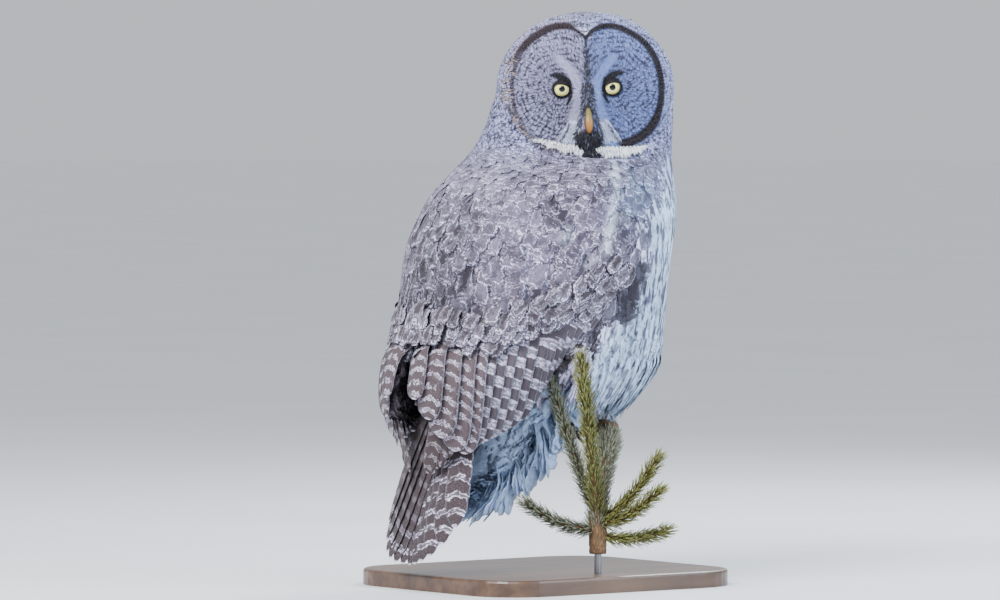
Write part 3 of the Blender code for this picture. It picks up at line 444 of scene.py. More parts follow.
def remeshed(points, faces, voxel):
    rough = new_object("rough", points, faces)
    modifier = rough.modifiers.new("voxels", "REMESH")
    modifier.mode = "VOXEL"
    modifier.voxel_size = voxel
    bpy.context.view_layer.update()
    graph = bpy.context.evaluated_depsgraph_get()
    mesh = bpy.data.meshes.new_from_object(rough.evaluated_get(graph), depsgraph=graph)
    bpy.data.objects.remove(rough)
    co = np.zeros(len(mesh.vertices) * 3)
    mesh.vertices.foreach_get("co", co)
    loops = np.zeros(len(mesh.loops), int)
    mesh.loops.foreach_get("vertex_index", loops)
    bpy.data.meshes.remove(mesh)
    return co.reshape(-1, 3), loops.reshape(-1, 4)


def decimated(points, faces, share):
    """The same form in fewer triangles."""
    rough = new_object("rough", points.tolist(), faces.tolist())
    modifier = rough.modifiers.new("fewer", "DECIMATE")
    modifier.ratio = share
    bpy.context.view_layer.update()
    graph = bpy.context.evaluated_depsgraph_get()
    mesh = bpy.data.meshes.new_from_object(rough.evaluated_get(graph), depsgraph=graph)
    bpy.data.objects.remove(rough)
    co = np.zeros(len(mesh.vertices) * 3)
    mesh.vertices.foreach_get("co", co)
    triangles = [tuple(face.vertices) for face in mesh.polygons]
    bpy.data.meshes.remove(mesh)
    return co.reshape(-1, 3), triangles


def relaxed(points, quads, weight, rounds):
    """Moves each point towards the middle of its neighbours, as far as its weight says."""
    ends = np.concatenate([quads[:, (i, (i + 1) % 4)] for i in range(4)])
    count = np.bincount(ends[:, 0], minlength=len(points))[:, None]
    for _ in range(rounds):
        total = np.stack([
            np.bincount(ends[:, 0], points[ends[:, 1], axis], len(points)) for axis in range(3)
        ], -1)
        points = points + (total / count - points) * weight[:, None]
    return points


def vertex_normals(points, quads):
    a, b, c, d = (points[quads[:, i]] for i in range(4))
    flat = np.cross(c - a, d - b)
    total = np.zeros_like(points)
    for i in range(4):
        np.add.at(total, quads[:, i], flat)
    return unit(total), unit(flat)


class Surface:
    """The plumage's outer form, to which feathers are fitted."""

    def __init__(self, points, quads):
        self.points, self.quads = points, quads
        self.normals, self.flat = vertex_normals(points, quads)
        self.soft = unit(self.normals[quads].mean(1))
        self.tree = BVHTree.FromPolygons(points.tolist(), quads.tolist())

    def snap(self, points):
        found = [self.tree.find_nearest(p) for p in points.tolist()]
        places = np.array([f[0][:] for f in found])
        return places, self.soft[[f[2] for f in found]]

    def scatter(self, radius_at, seed, crowd=5.0):
        """Random places no nearer to one another than a radius that varies from place to place."""
        draw = np.random.default_rng(seed)
        a, b, c, d = (self.points[self.quads[:, i]] for i in range(4))
        area = np.linalg.norm(np.cross(c - a, d - b), axis=1) / 2
        radius = radius_at(self.soft_middles())
        wanted = np.where(radius > 0, area / np.maximum(radius, 1e-6) ** 2, 0.0) * crowd
        number = draw.poisson(wanted)
        face = np.repeat(np.arange(len(self.quads)), number)
        draw.shuffle(face)
        s, t = draw.random(len(face))[:, None], draw.random(len(face))[:, None]
        spots = lerp(lerp(a[face], b[face], s), lerp(d[face], c[face], s), t)
        return thinned(spots, radius[face])

    def soft_middles(self):
        return self.points[self.quads].mean(1)


def thinned(spots, radius):
    tree = KDTree(len(spots))
    for index, spot in enumerate(spots.tolist()):
        tree.insert(spot, index)
    tree.balance()
    gone = np.zeros(len(spots), bool)
    kept = []
    for index, (spot, reach) in enumerate(zip(spots.tolist(), radius.tolist())):
        if not gone[index]:
            kept.append(index)
            for _, other, _ in tree.find_range(spot, reach):
                gone[other] = True
    return spots[kept]


# Feathers: thin closed blades, made in arrays

class Blades:
    """Blades along paths. Each vertex keeps its place on the blade for its markings."""

    def __init__(self, path, normal, half_width, shape, draw, columns=3, camber=0.2, thick=0.0003,
                 fray=0.0, sweep=0.3, tilt=0.0):
        count, stations = path.shape[:2]
        ahead = unit(np.gradient(path, axis=1))
        across = unit(np.cross(ahead, normal))
        upright = np.cross(across, ahead)
        if np.any(tilt):
            tilt = np.broadcast_to(tilt, (count,))[:, None, None]
            across, upright = (
                across * np.cos(tilt) + upright * np.sin(tilt),
                upright * np.cos(tilt) - across * np.sin(tilt),
            )
        half_width = np.broadcast_to(half_width, (count,))[:, None, None]
        places = np.linspace(-1, 1, columns)
        if columns == 3:
            places = np.concatenate((places, [0.0]))
            under = np.array([0, 0, 0, 1])
        else:
            places = np.concatenate((places, places[-2:0:-1]))
            under = np.concatenate((np.zeros(columns), np.ones(columns - 2)))
        # Notches run down both edges, at every other station, where the barbs part.
        tooth = 1 - fray * draw.random((count, stations, 2)) * (np.arange(stations) % 2)[None, :, None]
        edge = np.where(places > 0, tooth[..., 1:], tooth[..., :1])
        reach = half_width * np.asarray(shape)[None, :, None] * (1 + (edge - 1) * np.abs(places))
        self.points = (
            path[:, :, None]
            + across[:, :, None] * (reach * places)[..., None]
            - upright[:, :, None] * (reach * camber * places**2 + thick * under)[..., None]
            + ahead[:, :, None] * (reach * sweep * np.abs(places) ** 1.5)[..., None]
        )
        sides = len(places)
        gaps = np.linalg.norm(np.diff(path, axis=1), axis=2)
        run = np.concatenate((np.zeros((count, 1)), np.cumsum(gaps, 1)), 1)
        self.share = np.broadcast_to((run / run[:, -1:])[..., None], reach.shape)
        self.from_tip = np.broadcast_to((run[:, -1:] - run)[..., None], reach.shape)
        self.across = np.broadcast_to(places, reach.shape)
        self.across_length = reach * places
        self.seed = np.broadcast_to(draw.random((count, 1, 1)), reach.shape)
        self.roots = path[:, 0]
        self.stations, self.sides, self.count = stations, sides, count
        self.light = np.ones(reach.shape + (3,)) * 0.5
        self.dark = np.ones(reach.shape + (3,)) * 0.1
        self.mark = np.zeros(reach.shape)
        self.extra = np.zeros(reach.shape)

    def paint(self, light=None, dark=None, mark=None, extra=None):
        """Sets markings from one value a blade, or one a vertex."""
        for name, value in (("light", light), ("dark", dark)):
            if value is not None:
                value = np.asarray(value, float)
                if value.ndim == 2:
                    value = value[:, None, None]
                getattr(self, name)[:] = value
        for name, value in (("mark", mark), ("extra", extra)):
            if value is not None:
                value = np.asarray(value, float)
                if value.ndim == 1:
                    value = value[:, None, None]
                getattr(self, name)[:] = value
        return self

    def mirrored(self):
        other = object.__new__(Blades)
        other.__dict__.update(self.__dict__)
        other.points = self.points[:, :, ::-1] * (-1, 1, 1)
        for name in ("across", "across_length"):
            setattr(other, name, -getattr(self, name)[:, :, ::-1])
        for name in ("share", "from_tip", "seed", "light", "dark", "mark", "extra"):
            setattr(other, name, getattr(self, name)[:, :, ::-1])
        other.roots = self.roots * (-1, 1, 1)
        return other

    def faces(self):
        sides, stations = self.sides, self.stations
        level, side = np.meshgrid(np.arange(stations - 1), np.arange(sides), indexing="ij")
        a, b = level * sides + side, level * sides + (side + 1) % sides
        quads = np.stack((a, b, b + sides, a + sides), -1).reshape(-1, 4)
        last = (stations - 1) * sides
        ends = [np.arange(sides)[::-1], np.arange(sides) + last]
        return quads, ends


def unwrap(points):
    """A place for each point on a flat map of the skin: the body's sides, the face, the head's back."""
    local = to_head(points)
    bearing = bearings_of(BODY_STATIONS, points)
    body = np.stack((0.30 + 0.285 * bearing / math.pi, 0.02 + 2.2 * (points[:, 2] - 0.02)), -1)
    spot = local[:, :2] * 1.7
    front, back = spot + (0.80, 0.76), spot * (0.9, 0.9) + (0.80, 0.27)
    head = np.where(local[:, 2:] > 0.015, front, back)
    return np.clip(np.where(points[:, 2:] > 0.478, head, body), 0.004, 0.996)


PATCH = 0.003


def coat_piece(name, parts, look, nodes=()):
    """Joins blades into one piece, with their markings and the map that carries each one's patch."""
    points = np.concatenate([p.points.reshape(-1, 3) for p in parts])
    corners, sizes, offset = [], [], 0
    for part in parts:
        quads, ends = part.faces()
        each = part.stations * part.sides
        starts = offset + np.arange(part.count) * each
        corners.append((quads[None] + starts[:, None, None]).reshape(-1))
        sizes.append(np.full(len(quads) * part.count, 4))
        for end in ends:
            corners.append((end[None] + starts[:, None]).reshape(-1))
            sizes.append(np.full(part.count, part.sides))
        offset += each * part.count
    corners, sizes = np.concatenate(corners), np.concatenate(sizes)
    mesh = bpy.data.meshes.new(name)
    mesh.vertices.add(len(points))
    mesh.vertices.foreach_set("co", points.astype(np.float32).ravel())
    mesh.loops.add(len(corners))
    mesh.loops.foreach_set("vertex_index", corners.astype(np.int32))
    mesh.polygons.add(len(sizes))
    starts = np.concatenate(([0], np.cumsum(sizes)[:-1]))
    mesh.polygons.foreach_set("loop_start", starts.astype(np.int32))
    mesh.update(calc_edges=True)
    mesh.validate()
    flat = lambda key: np.concatenate([np.ascontiguousarray(getattr(p, key)).reshape(-1) for p in parts])
    place = np.stack((flat("across_length") * 1000, flat("from_tip") * 1000, flat("seed") * 97), -1)
    form = np.stack((flat("across"), flat("share"), flat("extra")), -1)
    for key, values in (("place", place), ("form", form)):
        layer = mesh.attributes.new(key, "FLOAT_VECTOR", "POINT")
        layer.data.foreach_set("vector", values.astype(np.float32).ravel())
    for key in ("light", "dark"):
        colours = np.concatenate([getattr(p, key).reshape(-1, 3) for p in parts])
        layer = mesh.attributes.new(key, "FLOAT_COLOR", "POINT")
        full = np.column_stack((colours, np.ones(len(colours))))
        layer.data.foreach_set("color", full.astype(np.float32).ravel())
    layer = mesh.attributes.new("mark", "FLOAT", "POINT")
    layer.data.foreach_set("value", flat("mark").astype(np.float32))
    roots = np.concatenate([np.repeat(unwrap(p.roots), p.stations * p.sides, 0) for p in parts])
    patch = np.stack((flat("across") * 0.5, flat("share") - 0.5), -1) * PATCH
    layer = mesh.uv_layers.new(name="OFBake")
    loops = np.zeros(len(mesh.loops), int)
    mesh.loops.foreach_get("vertex_index", loops)
    layer.data.foreach_set("uv", (roots + patch)[loops].astype(np.float32).ravel())
    mesh.shade_smooth()
    made = bpy.data.objects.new(name, mesh)
    bpy.context.scene.collection.objects.link(made)
    return finished(made, look, nodes)


def finished(thing, look, nodes=()):
    thing.data.materials.clear()
    thing.data.materials.append(look)
    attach(thing, "root")
    if nodes:
        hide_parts(*nodes)
    return thing


def contour_shape(share, root=0.5, widest=0.62, tip=0.16):
    """Half width along a body feather: broad, with a rounded tip."""
    rise = root + (1 - root) * eased(0.0, widest, share)
    fall = np.sqrt(np.clip(1 - (np.clip(share - widest, 0, 1) / (1 - widest + 1e-9)) ** 2, 0, 1))
    return rise * np.maximum(fall, tip)


def plume_shape(share):
    """Half width along a soft plume: it tapers to a point."""
    return np.interp(share, (0, 0.25, 0.6, 0.85, 1), (0.55, 0.95, 0.9, 0.5, 0.12))


def tract(surface, roots, flow, length, half_width, draw, stations=9, shape=contour_shape,
          sink=0.004, rise=0.0005, flare=0.001, turn=0.15, steps=5, **blade):
    """Feathers that follow a surface from their roots along the lie of the coat."""
    count = len(roots)
    length = np.broadcast_to(length, (count,))
    turn = draw.normal(0, 1, count)[:, None] * turn
    here, spots, normals = roots, [], []
    for _ in range(steps + 1):
        here, normal = surface.snap(here)
        ahead = flow(here, normal)
        ahead = unit(ahead - normal * (ahead * normal).sum(1, keepdims=True))
        ahead = ahead * np.cos(turn) + np.cross(normal, ahead) * np.sin(turn)
        spots.append(here)
        normals.append(normal)
        here = here + ahead * (length / steps)[:, None]
    share = 1 - (1 - np.linspace(0, 1, stations)) ** 1.25
    at = np.minimum(share * steps, steps - 1e-6)
    low = at.astype(int)
    t = (at - low)[None, :, None]
    spots, normals = np.stack(spots, 1), np.stack(normals, 1)
    path = lerp(spots[:, low], spots[:, low + 1], t)
    normal = unit(lerp(normals[:, low], normals[:, low + 1], t))
    lift = draw.normal(0, 0.12, count)[:, None, None] * rise
    out = -sink + (sink + rise) * eased(0.0, 0.5, share) + flare * share**2
    path = path + normal * (out[None, :, None] + lift)
    widths = np.broadcast_to(half_width, (count,)) * draw.uniform(0.88, 1.12, count)
    return Blades(path, normal, widths, shape(share), draw, **blade)


# Materials

class Look:
    """A node material built on one Principled shader."""

    def __init__(self, name, roughness=0.8, sheen=0.0, coat=0.0, specular=0.5, metallic=0.0):
        self.material = bpy.data.materials.new(name)
        self.material.use_nodes = True
        self.tree = self.material.node_tree
        self.shader = self.tree.nodes["Principled BSDF"]
        for socket, value in (("Roughness", roughness), ("Sheen Weight", sheen), ("Coat Weight", coat),
                              ("Specular IOR Level", specular), ("Metallic", metallic)):
            self.shader.inputs[socket].default_value = value

    def node(self, kind, links=(), **settings):
        made = self.tree.nodes.new(kind)
        for key, value in settings.items():
            setattr(made, key, value)
        for socket, value in links:
            self.feed(made.inputs[socket], value)
        return made

    def feed(self, socket, value):
        if isinstance(value, bpy.types.NodeSocket):
            self.tree.links.new(value, socket)
        else:
            socket.default_value = value

    def math(self, operation, first, second=None, third=None):
        links = [(0, first)] + [(i, v) for i, v in ((1, second), (2, third)) if v is not None]
        return self.node("ShaderNodeMath", links, operation=operation).outputs[0]

    def wave(self, value, period):
        return self.math("SINE", self.math("MULTIPLY", value, 2 * math.pi / period))

    def attribute(self, name, output="Vector"):
        return self.node("ShaderNodeAttribute", attribute_name=name).outputs[output]

    def split(self, vector):
        return self.node("ShaderNodeSeparateXYZ", [(0, vector)]).outputs

    def scaled(self, vector, factors):
        links = [(0, vector), (1, factors)]
        return self.node("ShaderNodeVectorMath", links, operation="MULTIPLY").outputs[0]

    def noise(self, vector, scale, detail=2.0, roughness=0.5):
        links = [("Vector", vector), ("Scale", scale), ("Detail", detail), ("Roughness", roughness)]
        return self.node("ShaderNodeTexNoise", links).outputs[0]

    def mix(self, share, first, second, blend="MIX"):
        made = self.node("ShaderNodeMix", data_type="RGBA", blend_type=blend)
        self.feed(made.inputs[0], share)
        self.feed(made.inputs[6], first)
        self.feed(made.inputs[7], second)
        return made.outputs[2]

    def ramp(self, value, low, high):
        links = [(0, value), (1, low), (2, high), (3, 0.0), (4, 1.0)]
        return self.node("ShaderNodeMapRange", links, interpolation_type="SMOOTHSTEP").outputs[0]

    def object_place(self):
        return self.node("ShaderNodeTexCoord").outputs["Object"]

    def colour(self, value):
        self.feed(self.shader.inputs["Base Color"], value)

    def bump(self, height, distance, strength=1.0):
        links = [("Height", height), ("Distance", distance), ("Strength", strength)]
        made = self.node("ShaderNodeBump", links)
        self.feed(self.shader.inputs["Normal"], made.outputs[0])


class Vane:
    """The places on a blade that its markings are drawn from, in millimetres."""

    def __init__(self, look):
        self.place = look.attribute("place")
        self.across, self.from_tip, self.seed = look.split(self.place)
        self.side, self.share, self.extra = look.split(look.attribute("form"))
        self.edge = look.math("ABSOLUTE", self.side)
        self.off_shaft = look.math("ABSOLUTE", self.across)
        self.warp = look.noise(look.scaled(self.place, (0.22, 0.30, 1.0)), 1.0, 3.0, 0.6)
        self.fine = look.noise(look.scaled(self.place, (0.9, 1.3, 1.0)), 1.0, 2.0)


def cell_marks(width, period, inner=9.5, outer=2.5):
    """Dusky feathers: a darker middle, and thin pale wavy lines that run round inside the fringe."""
    def marks(look, vane):
        lateral = look.math("MULTIPLY", look.math("SUBTRACT", 1.0, vane.edge), width)
        rim = look.math("SMOOTH_MIN", vane.from_tip, lateral, 3.0)
        rim = look.math("MULTIPLY_ADD", look.math("SUBTRACT", vane.warp, 0.5), 13.5, rim)
        rim = look.math("MULTIPLY_ADD", look.math("SUBTRACT", vane.fine, 0.5), 2.0, rim)
        lines = look.ramp(look.wave(look.math("MULTIPLY_ADD", vane.seed, 0.2, rim), period), 0.36, 0.90)
        fringe = look.ramp(rim, inner, outer)
        clump = look.ramp(look.noise(look.object_place(), 70.0, 1.0), 0.38, 0.60)
        pale = look.math("MULTIPLY", look.math("MULTIPLY_ADD", fringe, 0.86, 0.10), lines)
        pale = look.math("MULTIPLY", pale, look.math("MULTIPLY_ADD", clump, 0.62, 0.38))
        base = look.math("MULTIPLY_ADD", clump, -0.09, 0.965)
        base = look.math("MULTIPLY_ADD", look.math("SUBTRACT", vane.fine, 0.5), -0.20, base)
        middle = look.math("MULTIPLY", look.ramp(rim, inner - 3.0, inner + 3.0), vane.extra)
        dusky = look.math("MULTIPLY_ADD", middle, 0.20, base)
        return look.math("MULTIPLY_ADD", pale, -1.0, dusky)
    return marks


def edged(look, vane, pale):
    """Adds a feather's thin pale margin and tip, and a faint mottling over its dark parts."""
    margin = look.ramp(look.math("MULTIPLY_ADD", vane.fine, 0.30, vane.edge), 1.02, 1.16)
    tip = look.ramp(look.math("MULTIPLY_ADD", vane.fine, -3.0, vane.from_tip), 1.2, -0.8)
    pale = look.math("MAXIMUM", pale, look.math("MAXIMUM", look.math("MULTIPLY", margin, 0.45), tip))
    return look.math("MAXIMUM", pale, look.math("MULTIPLY", look.ramp(vane.fine, 0.5, 0.8), 0.14))


def ladder_marks(period, band_low, band_high, squiggle, waver):
    """Dusky squares between paler bars, each bar edged with white and hooked through with dark."""
    def marks(look, vane):
        along = look.math("ADD", vane.from_tip, vane.extra)
        along = look.math("MULTIPLY_ADD", vane.across, 0.16, along)
        along = look.math("MULTIPLY_ADD", vane.warp, waver, along)
        wave = look.wave(along, period)
        band = look.ramp(wave, band_low, band_high)
        off_edge = look.math("ABSOLUTE", look.math("SUBTRACT", wave, band_high + 0.10))
        outline = look.math("MULTIPLY", look.ramp(off_edge, 0.34, 0.10), look.ramp(vane.warp, 0.34, 0.52))
        curl = look.math("MULTIPLY_ADD", vane.fine, 2.4, look.math("MULTIPLY_ADD", vane.warp, 13.0, along))
        lines = look.ramp(look.wave(curl, squiggle), 0.1, 0.7)
        pale = look.math("MULTIPLY", band, look.math("MULTIPLY_ADD", lines, 0.60, 0.20))
        pale = look.math("MAXIMUM", pale, look.math("MULTIPLY", outline, 0.95))
        return look.math("SUBTRACT", 1.0, edged(look, vane, pale))
    return marks


def double_line_marks(period, waver, wash_depth=0.30):
    """Dusky vanes crossed by thin wavy pale lines, in loose pairs with a paler wash between them."""
    def marks(look, vane):
        along = look.math("ADD", vane.from_tip, vane.extra)
        along = look.math("MULTIPLY_ADD", vane.off_shaft, 0.22, along)
        along = look.math("MULTIPLY_ADD", vane.warp, waver, along)
        along = look.math("MULTIPLY_ADD", vane.fine, 2.0, along)
        wave = look.wave(along, period)
        slow = look.noise(look.scaled(vane.place, (0.12, 0.055, 1.0)), 1.0, 1.0)
        off_line = look.math("ABSOLUTE", look.math("SUBTRACT", wave, 0.70))
        lines = look.ramp(off_line, 0.24, 0.07)
        wash = look.math("MULTIPLY", look.ramp(wave, 0.62, 0.90), wash_depth)
        broken = look.ramp(slow, 0.31, 0.50)
        pale = look.math("MULTIPLY", lines, look.math("MULTIPLY", look.ramp(vane.fine, 0.26, 0.46), broken))
        pale = look.math("MAXIMUM", pale, look.math("MULTIPLY", wash, broken))
        return look.math("SUBTRACT", 1.0, edged(look, vane, pale))
    return marks


def blotch_marks(grain, low, high, strength, hairs=0.14):
    """Soft blotches, longer down the body than across it, over loose barbs."""
    def marks(look, vane):
        spots = look.noise(look.scaled(look.object_place(), grain), 1.0, 2.0)
        barbs = look.noise(look.scaled(vane.place, (2.2, 0.16, 1.0)), 1.0, 1.0)
        ragged = look.math("MULTIPLY_ADD", look.math("SUBTRACT", barbs, 0.5), 0.25, spots)
        loose = look.math("MULTIPLY", look.ramp(barbs, 0.45, 0.75), hairs)
        return look.math("MULTIPLY_ADD", look.ramp(ragged, low, high), strength, loose)
    return marks


def mottle_marks(look, vane):
    """Short dark dashes over the crown and the sides of the head."""
    dashes = look.noise(look.scaled(look.object_place(), (260.0, 260.0, 220.0)), 1.0, 2.0, 0.65)
    barred = look.ramp(look.wave(look.math("MULTIPLY_ADD", vane.warp, 4.0, vane.from_tip), 4.5), 0.0, 0.9)
    dash = look.ramp(look.math("MULTIPLY_ADD", barred, 0.14, dashes), 0.46, 0.64)
    soft = look.noise(look.object_place(), 90.0, 1.0)
    soft = look.math("MULTIPLY_ADD", look.ramp(soft, 0.42, 0.68), 0.30, 0.16)
    return look.math("MULTIPLY_ADD", dash, 0.70, soft)


def spot_marks(look, vane):
    """Dim bars and a few hair lines on the broad plumes under the tail."""
    along = look.math("MULTIPLY_ADD", vane.warp, 16.0, vane.from_tip)
    bars = look.ramp(look.wave(along, 17.0), 0.45, 1.0)
    bars = look.math("MULTIPLY", bars, look.ramp(vane.edge, 0.9, 0.3))
    barbs = look.noise(look.scaled(vane.place, (1.3, 0.05, 1.0)), 1.0, 1.0)
    root = look.ramp(vane.share, 0.80, 0.30)
    dim = look.math("MULTIPLY_ADD", root, 0.40, look.math("MULTIPLY", bars, 0.30))
    return look.math("MULTIPLY_ADD", look.ramp(barbs, 0.54, 0.70), 0.32, dim)


def ring_marks(look, vane):
    """Broken rings of dashes round each eye."""
    place = look.object_place()
    wander = look.noise(place, 50.0, 1.0)
    broken = look.noise(place, 140.0, 2.0, 0.6)
    grain = look.noise(place, 430.0, 2.0, 0.6)
    wave = look.wave(look.math("MULTIPLY_ADD", wander, 15.0, vane.extra), 5.6)
    wave = look.math("MULTIPLY_ADD", broken, 6.6, wave)
    lines = look.ramp(look.math("MULTIPLY_ADD", grain, 3.4, wave), 4.55, 6.5)
    speckle = look.math("MULTIPLY", look.ramp(grain, 0.36, 0.66), 0.52)
    return look.math("MAXIMUM", look.math("MULTIPLY", lines, 0.92), speckle)


def plain_marks(look, vane):
    barbs = look.noise(look.scaled(vane.place, (2.6, 0.2, 1.0)), 1.0, 1.0)
    return look.math("MULTIPLY", look.ramp(barbs, 0.5, 0.8), 0.3)


def plumage(name, marks, roughness=0.85):
    """Feathers: each blade's pale and dark colours, parted by one kind of marking."""
    look = Look(name, roughness=roughness, sheen=0.06, specular=0.2)
    vane = Vane(look)
    mark = look.attribute("mark", "Fac")
    # A mark below nought clears the pattern away, and one above it lays solid dark over it.
    dusky = look.math("MULTIPLY", marks(look, vane), look.ramp(mark, -1.0, 0.0))
    dusky = look.math("MAXIMUM", dusky, mark)
    look.colour(look.mix(dusky, look.attribute("light", "Color"), look.attribute("dark", "Color")))
    barbs = look.math("MULTIPLY_ADD", vane.off_shaft, 1.7, vane.from_tip)
    look.bump(look.math("MULTIPLY_ADD", vane.fine, 1.5, look.wave(barbs, 0.9)), 0.00016, 0.5)
    return look.material


# Where on the bird a point lies, and which way its coat runs there

def region(points):
    local = to_head(points)
    bearing = bearings_of(BODY_STATIONS, points)
    degrees = np.abs(np.degrees(bearing))
    lead, inner = np.moveaxis(smooth_values(WING_EDGES, points[:, 2]), -1, 0)
    height = points[:, 2]
    lead = lerp(lead, 64.0, eased(0.415, 0.455, height))
    gap = rim_gap(local[:, 0], local[:, 1])
    # Away from the face, the head's feathers and the body's meet along a ragged line.
    waver = patchy(points, 0.024, 5) - 0.5
    neckline = 0.487 + 0.034 * waver * eased(0.03, -0.03, local[:, 2])
    face = (local[:, 2] > 0.012) & (gap < 2.5) & (height > 0.478)
    low = (height < 0.2035)
    feet = (np.abs(points[:, 1]) < 0.046) & (height < 0.212) & (np.abs(points[:, 0]) < 0.07)
    vent = (points[:, 1] > 0.05) & (points[:, 1] < 0.150) & (height < 0.222)
    vent &= (np.abs(points[:, 0]) < 0.066) & ~feet
    return {
        "local": local, "bearing": bearing, "degrees": degrees, "lead": lead, "inner": inner,
        "height": height, "gap": gap, "face": face, "feet": feet | (low & ~vent & (points[:, 1] < 0.150)),
        "vent": vent, "behind": degrees > lead, "head": height > neckline, "neckline": neckline,
        "belly": height < 0.286 + 0.040 * waver,
    }


def seen_spot(points):
    """Where the view shows a place on the bird's right side, in millimetres; its left side mirrors it."""
    mirrored = np.array(points)
    mirrored[..., 0] = -np.abs(points[..., 0])
    return mirrored @ VIEW_ACROSS * 1000, points[..., 2] * 1000, mirrored @ VIEW_BACK > -0.02
SCAPULAR_LINE = np.array(((38, 468), (44, 440), (36, 405), (28, 374), (10, 356)))
WING_BEND = np.array(((50, 304), (58, 326), (70, 354)))


def body_flow(points, normal):
    """Down the body, back over the folded wings, and away from the face on the head."""
    where = region(points)
    bearing, height = where["bearing"], where["height"]
    backward = np.stack((-np.cos(bearing), np.sin(bearing), np.zeros(len(points))), -1)
    backward *= np.sign(bearing)[:, None]
    behind = eased(0.0, 1.0, (where["degrees"] - where["lead"]) / 14.0)
    slant = behind * lerp(0.85, 0.18, eased(80, 165, where["degrees"])) * (1 - eased(0.38, 0.46, height))
    breast = (1 - behind) * 0.12 * eased(0.25, 0.4, height)
    down = np.array((0.0, 0.0, -1.0)) + backward * (slant + breast)[:, None]
    muzzle = from_head(np.array((0.0, -0.010, HEAD_FRONT)))
    away = unit(points - muzzle)
    share = eased(0.455, 0.540, height)[:, None]
    local = where["local"]
    chin = (local[:, 2] > 0) & (local[:, 1] < -0.05)
    share = np.where(chin[:, None], share * 0.3, share)
    return down * (1 - share) + away * share * 1.4


def vent_flow(points, normal):
    ahead = UNDERTAIL_PATH[-1] - UNDERTAIL_PATH[0]
    spread = np.sign(points[:, :1]) * np.array((0.35, 0.0, 0.0))
    return np.broadcast_to(ahead / 0.14, points.shape) + spread


def feet_flow(points, normal):
    out = np.stack((0 * points[:, 0], points[:, 1] * 18, np.full(len(points), -0.9)), -1)
    return out


RIM_LINE = np.array((
    (0, 54), (3, 57), (8, 61.5), (17, 66), (28, 66.5), (39, 64), (50, 58.5), (61, 51), (70, 41), (77, 28),
    (81, 14), (82.5, 0), (82, -14), (79, -28), (74, -40), (66, -50.5), (56, -58), (44, -62.5), (33, -64.5),
    (20, -66), (0, -67),
))


# Face markings, in millimetres in the head's axes on one side of the face

BROW_LINE = np.array(((30, 31), (24, 25), (16, 16), (11, 4), (10.5, -6), (12, -20), (17, -34)))
COMMA_LINE = np.array((
    (39.5, 14), (34.5, 14), (28.5, 12), (21.8, 7), (18.3, -0.5), (18.2, -8.5), (21, -15.5), (23.5, -19),
))
COMMA_WIDTH = (2.0, 4.0, 5.0, 4.6, 3.0, 2.6, 2.0, 1.2)
MIDLINE = np.array(((1.5, 53), (0.5, 32), (0, 14), (0, -4), (0, -16), (0, -28)))
MIDLINE_WIDTH = (1.5, 1.6, 2.4, 5.2, 4.5, 7.0)
LOBE_LINE = np.array(((17, -41), (19, -50), (21, -58)))


def rim_gap(x, y):
    """How far outside the facial disc's rim a place lies, in millimetres."""
    bearing = np.arctan2(RIM_LINE[:, 1], RIM_LINE[:, 0])
    reach = np.hypot(RIM_LINE[:, 0], RIM_LINE[:, 1])
    half, up = np.abs(x) * 1000, y * 1000
    return np.hypot(half, up) - np.interp(np.arctan2(up, half), bearing[::-1], reach[::-1])


def line_distance(x, y, line):
    """Distance to a broken line, and how far along it the nearest place is."""
    best, share = np.full(x.shape, 1e9), np.zeros(x.shape)
    for index in range(len(line) - 1):
        start, step = line[index], line[index + 1] - line[index]
        t = np.clip(((x - start[0]) * step[0] + (y - start[1]) * step[1]) / (step @ step), 0, 1)
        gap = np.hypot(x - start[0] - t * step[0], y - start[1] - t * step[1])
        nearer = gap < best
        best, share = np.where(nearer, gap, best), np.where(nearer, (index + t) / (len(line) - 1), share)
    return best, share


def coat_tone(points, draw):
    """Pale and dark colours of the body's feathers, at their roots."""
    where = region(points)
    height, degrees = where["height"], where["degrees"]
    back = eased(-7.0, 7.0, degrees - where["lead"])
    on_head = eased(-0.045, 0.023, height - where["neckline"])
    across, up, _ = seen_spot(points)
    # The blue in these pale colours is a painted cast of the cool shade light over the grey plumage.
    light = blend_colour((0.60, 0.76, 1.0), (0.80, 0.73, 1.0), back)
    dark = blend_colour((0.085, 0.085, 0.150), (0.070, 0.057, 0.086), back)
    low = back * (1 - eased(0.30, 0.37, height))
    dark = blend_colour(dark, (0.044, 0.034, 0.044), low)
    rear = back * eased(138.0, 172.0, degrees)
    dark = blend_colour(dark, (0.032, 0.025, 0.032), rear)
    light = blend_colour(light, (0.60, 0.58, 0.80), rear)
    nape = back * np.exp(-(((height - 0.490) / 0.038) ** 2)) * (1 - eased(-70.0, -25.0, across))
    light = blend_colour(light, (0.82, 0.80, 1.0), nape)
    dark = blend_colour(dark, (0.25, 0.23, 0.34), nape)
    throat = back * eased(15.0, 60.0, across) * eased(400.0, 445.0, up) * (1 - on_head)
    light = blend_colour(light, (0.56, 0.71, 1.0), throat)
    dark = blend_colour(dark, (0.072, 0.076, 0.14), throat)
    facing = eased(-0.03, 0.05, where["local"][:, 2])
    crown = blend_colour((0.46, 0.455, 0.74), (0.39, 0.42, 0.76), facing)
    light = blend_colour(light, crown, on_head * 0.9)
    dark = blend_colour(dark, (0.055, 0.048, 0.082), on_head)
    patch = patchy(points, 0.030, 7)[:, None]
    shade = draw.uniform(0.88, 1.08, len(points))[:, None] * lerp(0.80, 1.12, patch)
    return light * shade, dark * draw.uniform(0.65, 1.35, len(points))[:, None] * lerp(0.65, 1.3, patch)


